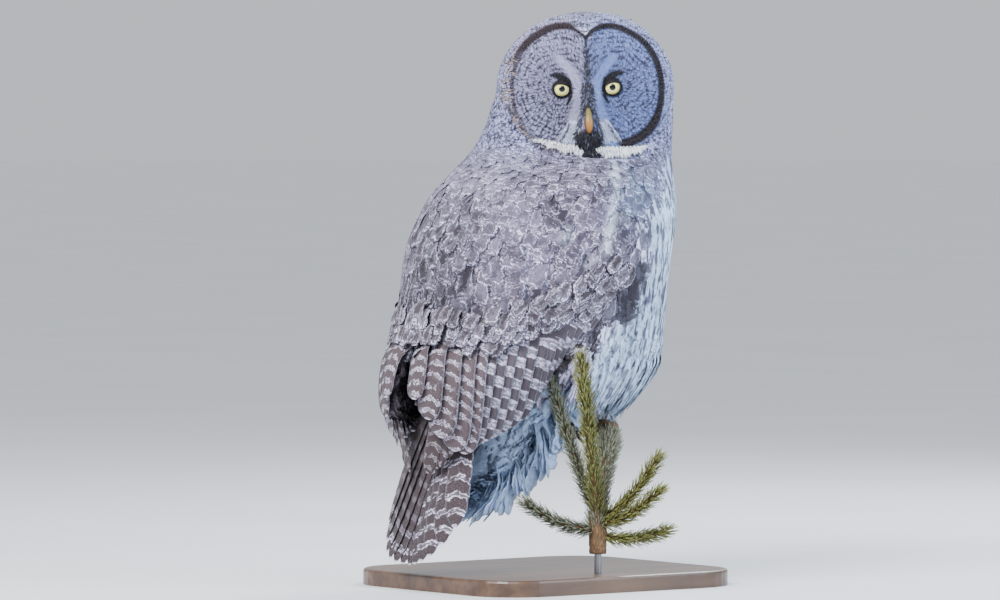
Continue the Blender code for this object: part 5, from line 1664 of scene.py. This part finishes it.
def rump_feathers(draw):
    """Dark feathers from the rump over the root of the tail, which close the gap between the wings."""
    made = []
    share = np.linspace(0, 1, 18)
    rows = [(np.linspace(-0.040, 0.040, 9), -0.34 + 0.075 * row, 0.30, 0.0105, 0.0075) for row in range(9)]
    # Longer ones lie over the side of the tail that the view shows end on.
    rows += [(np.linspace(0.014, 0.058, 5), 0.10 + 0.14 * row, 0.42, 0.0130, 0.0056) for row in range(3)]
    for places, first, reach, half_width, raised in rows:
        across = places + draw.normal(0, 0.0020, len(places))
        path = np.stack([
            tail_point(np.full(18, a), first + reach * share, raised - 0.0050 * share) for a in across
        ])
        normal = np.broadcast_to(unit(np.array((0.0, 1.0, 0.36))), path.shape)
        blades = Blades(path, normal, half_width, contour_shape(share), draw, columns=5, camber=0.12,
                        fray=0.25)
        painted(blades, (0.34, 0.30, 0.38), (0.034, 0.024, 0.028), 0.0, draw, (0.7, 1.1))
        made.append(blades.paint(extra=np.full(len(across), 0.8)))
    return made


# Tips of the far wing's feathers: across and up in the photo in mm, place to the side, half width.
FAR_TIPS = (
    (-176, 236, 0.066, 0.0120), (-183, 226, 0.078, 0.0120), (-190, 214, 0.088, 0.0120),
    (-197, 203, 0.098, 0.0115), (-166, 190, 0.055, 0.0125), (-174, 178, 0.066, 0.0125),
    (-182, 170, 0.078, 0.0120), (-191, 163, 0.088, 0.0115), (-199, 160, 0.097, 0.0105),
    (-160, 150, 0.050, 0.0125), (-170, 143, 0.062, 0.0120), (-180, 138, 0.074, 0.0115),
    (-188, 132, 0.084, 0.0100),
)


def far_wing_feathers(draw):
    """Dark feathers that hang inside the bird's left wing and are seen past the tail."""
    made = []
    for across, height, aside, half_width in FAR_TIPS:
        tip = np.array((aside, -(across / 1000 + 0.6018 * aside) / 0.7986, height / 1000))
        root = tip + (0.004, -0.024, 0.075)
        share = np.linspace(0, 1, 20)[:, None]
        path = lerp(root, tip, share) + np.array((0, 0.006, 0)) * np.sin(math.pi * share)
        normal = np.broadcast_to(unit(np.array((-0.30, 0.94, 0.16))), path.shape)
        vane = Blades(path[None], normal[None], half_width, flight_shape(share[:, 0]), draw, columns=7,
                      camber=0.12, thick=0.0004, fray=0.15, sweep=0.3)
        made.append(vane.paint(np.array([(0.42, 0.40, 0.50)]), np.array([(0.034, 0.025, 0.028)])))
    return made


def tail_point(across, share, lift):
    """A place on the arched upper side of the tail, at a share of its length from its root."""
    along = unit(TAIL_TIP - TAIL_ROOT)
    normal = unit(np.cross(along, (1.0, 0.0, 0.0)))
    arch = 0.014 * (np.maximum(0.0, np.abs(across) - 0.022) / 0.038) ** 1.6
    centre = lerp(TAIL_ROOT, TAIL_TIP, share[:, None])
    offset = np.stack((across, -arch, 0 * across), -1)
    return centre + offset + normal * np.broadcast_to(lift, across.shape)[:, None]


def tail_feathers(draw):
    """The twelve tail feathers, each one lying under its neighbour nearer the middle."""
    made = []
    share = np.linspace(0, 1, 36)
    for side in (-1, 1):
        for number, (across, short) in enumerate(RECTRIX_TIPS):
            reach = 1.0 - short / (TAIL_ROOT[2] - TAIL_TIP[2])
            place = side * across * (0.42 + 0.58 * share)
            lift = -0.00085 * (2 * number + (side > 0))
            path = tail_point(place, share * reach, lift)
            right_edge = tail_point(place + 0.002, share * reach, lift)
            wider = right_edge - tail_point(place - 0.002, share * reach, lift)
            normal = unit(np.cross(unit(TAIL_TIP - TAIL_ROOT), wider))
            vane = Blades(path[None], normal[None], 0.0155, flight_shape(share), draw, columns=9,
                          camber=0.03, thick=0.0003, fray=0.12, sweep=0.22)
            vane.paint(np.array([(0.80, 0.75, 0.95)]), np.array([(0.046, 0.031, 0.034)]),
                       extra=np.array([draw.uniform(-2.0, 2.0)]))
            # Towards the root, and more so on the bird's left, the pale lines fade out.
            faded = eased(0.60, 0.40, vane.share) if side < 0 else eased(0.96, 0.80, vane.share)
            made.append(vane.paint(mark=faded * 0.90))
    return made


# Eyes, lids, bill and claws

def eyeball(side, name, node, look):
    """One ball with the bulge of the cornea on it."""
    rings, turns = 48, 64
    polar = np.linspace(0, math.pi, rings + 2)[1:-1]
    bulge = 0.0011 * np.clip(1 - (polar / 0.72) ** 2, 0, 1) ** 1.2
    radius = EYE_RADIUS + bulge - 0.0003
    angle = 2 * math.pi * np.arange(turns) / turns
    ring = np.stack((
        np.sin(polar)[:, None] * np.cos(angle), np.sin(polar)[:, None] * np.sin(angle),
        np.cos(polar)[:, None] + 0 * angle,
    ), -1) * radius[:, None, None]
    points, faces = loft(ring)
    place = points + eye_centre(side)
    made = new_object(name, from_head(place), faces)
    layer = made.data.attributes.new("ball", "FLOAT_VECTOR", "POINT")
    layer.data.foreach_set("vector", (points * 1000).astype(np.float32).ravel())
    return finished(made, look, [node])


def eye_look():
    look = Look("amber_eye", roughness=0.15, coat=0.45, specular=0.25)
    look.shader.inputs["Coat Roughness"].default_value = 0.03
    ball = look.attribute("ball")
    x, y, z = look.split(ball)
    radius = look.math("SQRT", look.math("ADD", look.math("MULTIPLY", x, x), look.math("MULTIPLY", y, y)))
    angle = look.math("ARCTAN2", y, x)
    spokes = look.node("ShaderNodeCombineXYZ", [(0, look.math("MULTIPLY", angle, 9.0)),
                                                 (1, look.math("MULTIPLY", radius, 0.5)), (2, z)]).outputs[0]
    fibres = look.noise(spokes, 1.4, 3.0, 0.6)
    iris = look.mix(look.ramp(fibres, 0.3, 0.75), (0.95, 0.92, 0.36, 1), (0.74, 0.66, 0.17, 1))
    rim = look.ramp(radius, 6.8, 8.9)
    iris = look.mix(look.math("MULTIPLY", rim, 0.45), iris, (0.46, 0.42, 0.10, 1))
    inner = look.ramp(radius, 4.7, 3.6)
    iris = look.mix(look.math("MULTIPLY", inner, 0.45), iris, (0.40, 0.34, 0.08, 1))
    outside = look.ramp(radius, 8.55, 8.95)
    iris = look.mix(outside, iris, (0.010, 0.009, 0.010, 1))
    pupil = look.ramp(radius, 3.65, 3.4)
    look.colour(look.mix(pupil, iris, (0.001, 0.001, 0.002, 1)))
    return look.material


LID_HALF_WIDTH = 0.0088
LID_ABOVE = 0.0046
LID_BELOW = 0.0080
LID_SLANT = 0.17
LID_REACH = 0.0106


def lid_edge(side, angle):
    """The opening between the lids, in the head's axes from the eye's middle."""
    x = LID_HALF_WIDTH * np.cos(angle)
    sine = np.sin(angle)
    tall = np.where(sine > 0, LID_ABOVE, LID_BELOW)
    y = tall * sine * np.abs(sine) ** -0.12
    return x, y + LID_SLANT * x * side * eased(-0.6, 0.4, sine)


def lids(look):
    """Bare dark skin round each eye, out to the feathers; the upper lid slants to the bill."""
    parts = []
    turns = 72
    angle = 2 * math.pi * np.arange(turns) / turns + 1e-4
    profile = (
        (0.00, -0.0004), (0.00, 0.0004), (0.07, 0.0009), (0.20, 0.0010), (0.45, 0.0006), (0.75, 0.0006),
        (1.00, 0.0002), (1.00, -0.0016), (0.30, -0.0012),
    )
    for side in (-1, 1):
        x, y = lid_edge(side, angle)
        rings = []
        for share, out in profile:
            gx = lerp(x, LID_REACH * np.cos(angle), share)
            gy = lerp(y, LID_REACH * np.sin(angle), share)
            radius = EYE_RADIUS + 0.0009 + out
            rings.append(np.stack((gx, gy, np.sqrt(np.maximum(radius**2 - gx**2 - gy**2, 1e-8))), -1))
        rings = np.array(rings) + eye_centre(side)
        count = len(profile)
        faces = []
        for level in range(count):
            for step in range(turns):
                a, b = level * turns + step, level * turns + (step + 1) % turns
                above = (level + 1) % count * turns
                faces.append((a, above + step, above + (step + 1) % turns, b))
        parts.append((from_head(rings.reshape(-1, 3)), faces))
    made = new_object("eyelids", *joined(parts))
    smoothing = made.modifiers.new("fold", "SUBSURF")
    smoothing.levels = smoothing.render_levels = 1
    return finished(made, look)


def plain_look(name, first, second, scale, roughness, bump=0.0, **settings):
    look = Look(name, roughness=roughness, **settings)
    pattern = look.noise(look.object_place(), scale, 4.0, 0.6)
    look.colour(look.mix(look.ramp(pattern, 0.35, 0.65), (*first, 1), (*second, 1)))
    if bump:
        look.bump(pattern, bump)
    return look.material


def bill_look():
    look = Look("horn_bill", roughness=0.42, specular=0.35, coat=0.04)
    place = look.attribute("along_bill", "Fac")
    side = look.attribute("bill_side", "Fac")
    grain = look.noise(look.object_place(), 420.0, 3.0, 0.55)
    at = look.math("MULTIPLY_ADD", grain, 0.14, place)
    base = look.mix(look.ramp(at, 0.30, 0.72), (0.165, 0.145, 0.048, 1), (0.33, 0.135, 0.026, 1))
    base = look.mix(look.ramp(at, 0.78, 1.02), base, (0.055, 0.020, 0.010, 1))
    flank = look.ramp(look.math("MULTIPLY_ADD", grain, 0.2, side), 0.55, 0.95)
    look.colour(look.mix(look.math("MULTIPLY", flank, 0.85), base, (0.030, 0.022, 0.018, 1)))
    look.bump(grain, 0.0002)
    return look.material


def bill(look):
    """The hooked upper half with its ridge and nostrils, and the lower half behind it."""
    front = float(face_depth(np.array(0.0), np.array(-0.03)))
    upper = np.array((
        (0, -0.0255, front - 0.0120), (0, -0.0280, front - 0.0015), (0, -0.0315, front + 0.0048),
        (0, -0.0358, front + 0.0088), (0, -0.0400, front + 0.0106), (0, -0.0438, front + 0.0104),
        (0, -0.0472, front + 0.0090), (0, -0.0499, front + 0.0068), (0, -0.0512, front + 0.0054),
    ))
    sizes = ((0.0026, 0.0048), (0.0032, 0.0052), (0.0043, 0.0056), (0.0052, 0.0054), (0.0054, 0.0049),
             (0.0049, 0.0041), (0.0037, 0.0031), (0.0019, 0.0018), (0.0004, 0.0004))
    made = []
    for name, path, size, node in (
        ("bill_upper_horn", upper, sizes, "bill_upper"),
        ("bill_lower_horn", np.array(((0, -0.0400, front - 0.012), (0, -0.0425, front - 0.002),
                                      (0, -0.0455, front + 0.0040), (0, -0.0462, front + 0.0055))),
         ((0.0042, 0.0022), (0.0036, 0.0020), (0.0018, 0.0011), (0.0006, 0.0005)), "bill_lower"),
    ):
        path, size = resampled(path, 40), resampled(size, 40)
        rings = tapered(path, np.maximum(size, 0.0002), 40)
        ahead = unit(np.gradient(path, axis=0))
        angle = 2 * math.pi * np.arange(40) / 40
        # A narrow ridge runs down the middle of the front, and the cutting edges draw in behind.
        forward = np.cross(ahead, (1.0, 0.0, 0.0))
        sign = np.sign(forward[len(path) // 2, 2])
        ridge = np.exp(-((np.angle(np.exp(1j * (angle - sign * -math.pi / 2))) / 0.5) ** 2))
        share = np.linspace(0, 1, 40)
        rings += forward[:, None] * (ridge[None] * 0.0006 * (1 - share)[:, None] * sign)[..., None]
        if node == "bill_upper":
            for side in (-1, 1):
                place = np.array((side * 0.0041, -0.0305, front + 0.0080))
                gap = np.linalg.norm((rings - place) * (1, 0.75, 1), axis=2)
                rings -= (np.array((side, 0, 0.4)) * (0.0011 * np.exp(-((gap / 0.0011) ** 2)))[..., None])
        points, faces = loft(rings)
        thing = new_object(name, from_head(points), faces)
        layer = thing.data.attributes.new("along_bill", "FLOAT", "POINT")
        along = np.concatenate((np.repeat(share, 40), (0, 1)))
        layer.data.foreach_set("value", along.astype(np.float32))
        layer = thing.data.attributes.new("bill_side", "FLOAT", "POINT")
        sideways = np.concatenate((np.tile(np.abs(np.cos(angle)), 40), (0, 0)))
        layer.data.foreach_set("value", sideways.astype(np.float32))
        made.append(finished(thing, look, [node]))
    return made


def claws(look):
    for side, word in ((-1, "right"), (1, "left")):
        parts = []
        for turn, spread, reach in TOES:
            share = np.linspace(0, 1, 14)
            forward = -1 if turn < 90 else 1
            radius = LIMB_RADIUS + 0.0070 + 0.0010 * np.sin(math.pi * share)
            angle = np.radians(reach - 2 + 62 * share)
            x = np.full(14, side * FOOT_SPREAD + spread)
            path = np.stack((x, forward * radius * np.sin(angle), LIMB_HEIGHT + radius * np.cos(angle)), -1)
            wide = 0.0027 * (1 - share) ** 0.7 + 0.0002
            parts.append(loft(tapered(path, np.column_stack((wide, wide * 1.15)), 14)))
        made = new_object("claws_" + word, *joined(parts))
        finished(made, look, [f"claw_{word}_{n}" for n in range(1, 5)])


# Perch

def bark_tube(points, radii, sides, draw):
    """A rough round stem along a path, with a ring about every 3 mm."""
    length = np.linalg.norm(np.diff(np.array(points), axis=0), axis=1).sum()
    path = resampled(points, max(12, int(length / 0.003)))
    thick = resampled(np.array(radii)[:, None], len(path))
    rings = tapered(path, np.column_stack((thick, thick)), sides, (0.31, 0.53, 0.79))
    rough = 1 + 0.05 * draw.standard_normal(rings.shape[:2])
    return loft(path[:, None] + (rings - path[:, None]) * rough[..., None])


def shoot_path(start, end, bow, count=9):
    share = np.linspace(0, 1, count)[:, None]
    return lerp(np.array(start), np.array(end), share) + np.array(bow) * np.sin(math.pi * share)


def perch(look):
    draw = np.random.default_rng(121)
    parts = [bark_tube(STEM_PATH, (0.0095, 0.0095, 0.0090, 0.0092, 0.0100, 0.0110, 0.0090), 20, draw)]
    limb = [(-0.062 + 0.034 * i, 0.0, LIMB_HEIGHT) for i in range(5)]
    parts.append(bark_tube(limb, [LIMB_RADIUS - 0.0002 - 0.0003 * i for i in range(5)], 20, draw))
    for start, end, bow, radius in SHOOTS:
        path = shoot_path(start, end, bow)
        parts.append(bark_tube(path, radius * np.linspace(1, 0.5, len(path)), 10, draw))
    for place in [s[1] for s in SHOOTS]:
        bud = np.array(place)
        path = bud + np.linspace(0, 1, 5)[:, None] * np.array((0, 0, 0.005))
        parts.append(loft(tapered(path, [(0.0018, 0.0018), (0.0026, 0.0026), (0.0025, 0.0025),
                                         (0.0014, 0.0014), (0.0002, 0.0002)], 10, (1, 0.2, 0))))
    made = new_object("spruce_wood", *joined(parts))
    return finished(made, look, ["perch_branch"])


def needles(look_fresh, look_old):
    """Needles set spirally on every shoot and round the upper stem, leaning towards its tip."""
    draw = np.random.default_rng(131)
    shoots = [(shoot_path(start, end, bow, 60), radius, 0.06) for start, end, bow, radius in SHOOTS]
    shoots.append((resampled(STEM_PATH, 60), 0.0095, 0.12))
    for name, chosen, look in (
        ("needles_green", (0, 2, 3, 5), look_fresh),
        ("needles_grey", (1, 4, 6), look_old),
    ):
        parts = []
        for number in chosen:
            path, radius, bare = shoots[number]
            length = np.linalg.norm(np.diff(path, axis=0), axis=1).sum()
            count = int(length / (0.00021 if number < 6 else 0.00016))
            share = np.sort(draw.uniform(bare, 1.0 if number < 6 else 0.70, count))
            fine = resampled(path, 500)
            at = (share * 499).astype(int)
            root, ahead = fine[at], unit(np.gradient(fine, axis=0))[at]
            turn = np.arange(count) * 2.399 + draw.normal(0, 0.3, count)
            side = unit(np.cross(ahead, (0.3, 0.2, 0.9)))
            other = np.cross(ahead, side)
            outward = side * np.cos(turn)[:, None] + other * np.sin(turn)[:, None]
            lean = np.radians(draw.normal(38, 8, count) * lerp(1.0, 0.5, eased(0.9, 1.0, share)))[:, None]
            way = ahead * np.cos(lean) + outward * np.sin(lean)
            span = draw.uniform(0.0095, 0.0140, count)[:, None, None]
            t = np.linspace(0, 1, 5)[None, :, None]
            bend = ahead[:, None] * span * 0.16 * t**2
            line = root[:, None] + outward[:, None] * radius * 0.7 + way[:, None] * span * t + bend
            normal = np.broadcast_to(unit(np.cross(way, np.cross(outward, way)))[:, None], line.shape)
            shape = np.interp(t[0, :, 0], (0, 0.2, 0.75, 1), (0.6, 1.0, 0.9, 0.1))
            parts.append(Blades(line, normal, 0.00062, shape, draw, camber=0.3, thick=0.0005, sweep=0.0))
        for part in parts:
            part.paint(light=np.full((part.count, 3), 0.2))
        coat_piece(name, parts, look)


def needle_look(name, base, tip, shade):
    look = Look(name, roughness=0.5, specular=0.4)
    _, share, _ = look.split(look.attribute("form"))
    varied = look.noise(look.attribute("place"), 0.35, 1.0)
    colour = look.mix(look.ramp(share, 0.05, 0.95), (*base, 1), (*tip, 1))
    look.colour(look.mix(look.ramp(varied, 0.45, 0.75), colour, (*shade, 1)))
    return look.material


def bark_look():
    look = Look("spruce_bark", roughness=0.85, specular=0.3)
    place = look.object_place()
    scales = look.node("ShaderNodeTexVoronoi", [("Vector", look.scaled(place, (1, 1, 0.45))), ("Scale", 330.0)])
    flakes = look.ramp(scales.outputs["Distance"], 0.1, 0.6)
    tone = look.noise(place, 90.0, 4.0, 0.65)
    warm = look.mix(look.ramp(tone, 0.3, 0.7), (0.13, 0.068, 0.030, 1), (0.27, 0.155, 0.070, 1))
    look.colour(look.mix(look.math("MULTIPLY", flakes, 0.6), warm, (0.055, 0.036, 0.024, 1)))
    look.bump(look.math("SUBTRACT", tone, flakes), 0.0008)
    return look.material


def stand_looks():
    wood = Look("walnut_base", roughness=0.38, specular=0.45, coat=0.25)
    wood.shader.inputs["Coat Roughness"].default_value = 0.22
    place = wood.object_place()
    grain = wood.noise(wood.scaled(place, (60.0, 5.0, 60.0)), 1.0, 5.0, 0.6)
    rings = wood.node("ShaderNodeTexWave", [("Vector", place), ("Scale", 9.0), ("Distortion", 5.0),
                                             ("Detail", 3.0), ("Detail Scale", 1.2)])
    tone = wood.mix(wood.ramp(grain, 0.3, 0.7), (0.060, 0.030, 0.017, 1), (0.135, 0.072, 0.040, 1))
    wood.colour(wood.mix(wood.math("MULTIPLY", rings.outputs["Fac"], 0.35), tone, (0.040, 0.020, 0.012, 1)))
    wood.bump(grain, 0.0002)
    steel = Look("blackened_rod", roughness=0.35, metallic=1.0)
    brushed = steel.noise(steel.scaled(steel.object_place(), (900.0, 900.0, 30.0)), 1.0, 2.0)
    steel.colour(steel.mix(brushed, (0.16, 0.16, 0.17, 1), (0.28, 0.28, 0.29, 1)))
    for node, look in (("stand_base", wood), ("stand_rod", steel)):
        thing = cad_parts[node]
        thing.data.materials.clear()
        thing.data.materials.append(look.material)


# Skin

FORM_VOXEL = 0.0021
SKIN_SHARE = 0.58


def plumage_form():
    """The outer form of the whole bird, with its neck, wings and limbs run together."""
    tail_root = tapered(
        resampled([tail_point(np.zeros(1), np.array([s]), -0.0065)[0] for s in (-0.02, 0.10, 0.20, 0.28)], 10),
        resampled([(0.022, 0.0090), (0.026, 0.0085), (0.026, 0.0070), (0.018, 0.0030)], 10), 24)
    undertail = tapered(resampled(UNDERTAIL_PATH, 16), resampled(UNDERTAIL_SIZES, 16), 40)
    parts = [body_loft(), head_loft(), wing_loft(-1), wing_loft(1), loft(tail_root), loft(undertail)]
    points, quads = remeshed(*joined(parts + limb_lofts()), FORM_VOXEL)
    local = to_head(points)
    away = np.maximum(disc_radius(local[:, 0], local[:, 1]) - 0.98, 0.02 - local[:, 2])
    weight = eased(0.0, 0.12, away) * 0.8
    weight *= lerp(0.35, 1.0, eased(0.40, 0.47, points[:, 2]))
    weight *= lerp(0.25, 1.0, eased(0.20, 0.23, points[:, 2]))
    return Surface(relaxed(points, quads, np.clip(weight + 0.06, 0, 0.85), 22), quads)


def skin(surface, look):
    """The skin that replaces the flesh nodes: a little inside the plumage's form, coloured as it is."""
    where = region(surface.points)
    depth = np.select([where["face"], where["feet"], where["head"], where["vent"]],
                      [0.0009, 0.0012, 0.0012, 0.0028], 0.0024)
    depth = np.where(where["height"] > 0.43, np.minimum(depth, 0.0016), depth)
    depth = relaxed(depth[:, None].repeat(3, 1), surface.quads, np.full(len(depth), 0.9), 6)[:, 0]
    points = surface.points - surface.normals * depth[:, None]
    points, triangles = decimated(points, surface.quads, SKIN_SHARE)
    where = region(points)
    made = new_object("owl_skin", points.tolist(), triangles)
    nodes = ("head", "neck", "torso", "wing_left", "wing_right", "tail", "undertail_coverts", "leg_left",
             "leg_right", "foot_left", "foot_right")
    light, dark = coat_tone(points, np.random.default_rng(151))
    body = blend_colour(light, dark, 0.40)
    # Behind the wings below the mantle the skin is darkened: partly the dark brown of the rump and wing beds,
    # partly painted shade in the deep gap between the folded wings.
    body = np.where((where["behind"] & (where["height"] < 0.30))[:, None], dark * 0.6, body)
    body = np.where(where["vent"][:, None], np.array((0.20, 0.28, 0.45)), body)
    light, dark, mark, _ = face_markings(where["local"][:, 0], where["local"][:, 1])
    face = blend_colour(light * 0.8, dark, np.clip(mark, 0, 1))
    colour = np.where(where["face"][:, None], face, body)
    layer = made.data.attributes.new("light", "FLOAT_COLOR", "POINT")
    layer.data.foreach_set("color", np.column_stack((colour, np.ones(len(colour)))).astype(np.float32).ravel())
    return finished(made, look, nodes)


def skin_look():
    look = Look("down_over_skin", roughness=0.95, sheen=0.1, specular=0.1)
    tone = look.noise(look.object_place(), 600.0, 3.0, 0.6)
    shade = look.mix(1.0, look.attribute("light", "Color"), (0.75, 0.75, 0.75, 1), "MULTIPLY")
    look.colour(look.mix(look.ramp(tone, 0.3, 0.7), shade, look.attribute("light", "Color")))
    look.bump(tone, 0.0006)
    return look.material


# Stage, light and camera

PIXEL = 0.00111
CAMERA_DISTANCE = 8.0
ELEVATION = math.radians(2.0)
FRAME_WIDTH = 1000
AIM_ACROSS = -0.0862
AIM_HEIGHT = 0.3140


def area_light(name, place, target, size, power, colour):
    data = bpy.data.lights.new(name, "AREA")
    data.shape = "DISK"
    data.size = size
    data.energy = power
    data.color = colour
    lamp = bpy.data.objects.new(name, data)
    lamp.location = place
    lamp.rotation_euler = (Vector(target) - Vector(place)).to_track_quat("-Z", "Y").to_euler()
    bpy.context.scene.collection.objects.link(lamp)


def stage():
    """The pale floor, the soft sky and three lamps, all outside the part."""
    bpy.ops.mesh.primitive_circle_add(vertices=96, radius=30.0, fill_type="NGON")
    floor = bpy.context.object
    floor.name = "floor"
    look = Look("pale_floor", roughness=0.75, specular=0.2)
    tone = look.noise(look.object_place(), 3.0, 2.0)
    look.colour(look.mix(look.ramp(tone, 0.2, 0.8), (0.66, 0.67, 0.69, 1), (0.69, 0.70, 0.72, 1)))
    floor.data.materials.append(look.material)
    world = bpy.data.worlds.new("studio")
    bpy.context.scene.world = world
    world.use_nodes = True
    tree = world.node_tree
    sky = tree.nodes["Background"]
    sky.inputs["Strength"].default_value = 1.10
    place = tree.nodes.new("ShaderNodeTexCoord")
    split = tree.nodes.new("ShaderNodeSeparateXYZ")
    fade = tree.nodes.new("ShaderNodeMapRange")
    mix = tree.nodes.new("ShaderNodeMix")
    mix.data_type = "RGBA"
    mix.inputs[6].default_value = (0.60, 0.62, 0.66, 1)
    mix.inputs[7].default_value = (0.84, 0.88, 0.95, 1)
    fade.inputs[2].default_value = 0.5
    tree.links.new(place.outputs["Generated"], split.inputs[0])
    tree.links.new(split.outputs[2], fade.inputs[0])
    tree.links.new(fade.outputs[0], mix.inputs[0])
    tree.links.new(mix.outputs[2], sky.inputs[0])
    across, back = VIEW_ACROSS, VIEW_BACK
    middle = np.array((0.0, 0.03, 0.34))
    up = np.array((0, 0, 1.0))
    area_light("key", middle + back * 1.5 - across * 1.0 + up * 1.5, middle, 1.3, 115.0, (0.97, 0.98, 1.0))
    area_light("fill", middle + back * 0.9 + across * 1.8 + up * 0.5, middle, 1.4, 42.0, (0.62, 0.80, 1.0))
    area_light("rim", middle - back * 1.4 + across * 0.9 + up * 1.3, middle, 1.0, 55.0, (0.88, 0.94, 1.0))


def camera():
    """The photo's own framing: nearly level and from far away, so that sizes across stay true."""
    data = bpy.data.cameras.new("view")
    data.sensor_width = 36.0
    data.lens = data.sensor_width * CAMERA_DISTANCE / (FRAME_WIDTH * PIXEL)
    data.clip_end = 100.0
    eye = bpy.data.objects.new("view", data)
    target = VIEW_ACROSS * AIM_ACROSS + np.array((0, 0, AIM_HEIGHT))
    back = VIEW_BACK * math.cos(ELEVATION) + np.array((0, 0, math.sin(ELEVATION)))
    eye.location = target + back * CAMERA_DISTANCE
    eye.rotation_euler = (-Vector(back)).to_track_quat("-Z", "Y").to_euler()
    bpy.context.scene.collection.objects.link(eye)
    bpy.context.scene.camera = eye


def dress():
    """Builds every piece in turn, with its looks and its slot."""
    surface = plumage_form()
    skin(surface, skin_look())
    cells = plumage("mantle_cells", cell_marks(12.5, 5.2))
    large_cells = plumage("covert_cells", cell_marks(11.0, 5.0, 9.0, 2.5))
    ladder = plumage("barred_wing", ladder_marks(24.0, 0.05, 0.25, 7.0, 5.0), 0.75)
    banded = plumage("barred_tail", double_line_marks(19.0, 11.0, 0.10), 0.75)
    tertial = plumage("lined_tertials", double_line_marks(13.5, 15.0, 0.18), 0.75)
    mottled = plumage("mottled_head", mottle_marks)
    streaks = plumage("streaked_breast", blotch_marks((150.0, 150.0, 55.0), 0.46, 0.58, 0.92))
    soft = plumage("soft_plumes", blotch_marks((130.0, 130.0, 48.0), 0.49, 0.63, 0.74))
    spotted = plumage("spotted_plumes", spot_marks)
    rings = plumage("ringed_disc", ring_marks)
    plain = plumage("plain_tufts", plain_marks)
    coat_piece("coat_disc", [facial_disc()], rings)
    coat_piece("coat_rim", [midline_tufts()] + ruff() + brow_tufts(), rings)
    coat_piece("coat_tufts", moustache(surface) + chin_and_bow_tie(surface), plain)
    coat_piece("coat_head", [head_coat(surface)], mottled)
    coat_piece("coat_mantle", [mantle_coat(surface)], cells)
    coat_piece("coat_wing_beds", [bed_coat(surface)], large_cells)
    coat_piece("coat_breast", [breast_coat(surface)], streaks)
    coat_piece("coat_belly", belly_coat(surface), soft)
    coat_piece("coat_undertail", undertail_coat(surface), spotted)
    coat_piece("coat_feet", [feet_coat(surface)], soft)
    draw = np.random.default_rng(141)
    (flight, tertials), coverts = flight_feathers(draw), greater_coverts(draw)
    coat_piece("flight_right", flight, ladder)
    coat_piece("flight_left", [f.mirrored() for f in flight], ladder)
    coat_piece("tertials_right", tertials, tertial)
    coat_piece("tertials_left", [f.mirrored() for f in tertials], tertial)
    coat_piece("coverts_right", coverts, large_cells)
    coat_piece("coverts_left", [c.mirrored() for c in coverts], large_cells)
    coat_piece("coat_rump", rump_feathers(draw), large_cells)
    coat_piece("far_wing", far_wing_feathers(draw), tertial)
    coat_piece("tail_feathers", tail_feathers(draw), banded)
    amber = eye_look()
    eyeball(1, "eyeball_right_of_face", "eye_left", amber)
    eyeball(-1, "eyeball_left_of_face", "eye_right", amber)
    lids(plain_look("lid_skin", (0.006, 0.005, 0.007), (0.014, 0.012, 0.015), 500.0, 0.7, 0.0002,
                    specular=0.15))
    bill(bill_look())
    claws(plain_look("black_claw", (0.010, 0.009, 0.009), (0.030, 0.027, 0.025), 300.0, 0.28, coat=0.3))
    perch(bark_look())
    needles(
        needle_look("needle_green", (0.085, 0.085, 0.018), (0.27, 0.27, 0.085), (0.055, 0.065, 0.015)),
        needle_look("needle_grey", (0.065, 0.068, 0.036), (0.25, 0.26, 0.18), (0.036, 0.042, 0.022)),
    )
    stand_looks()


camera()
stage()
dress()
bpy.context.view_layer.update()
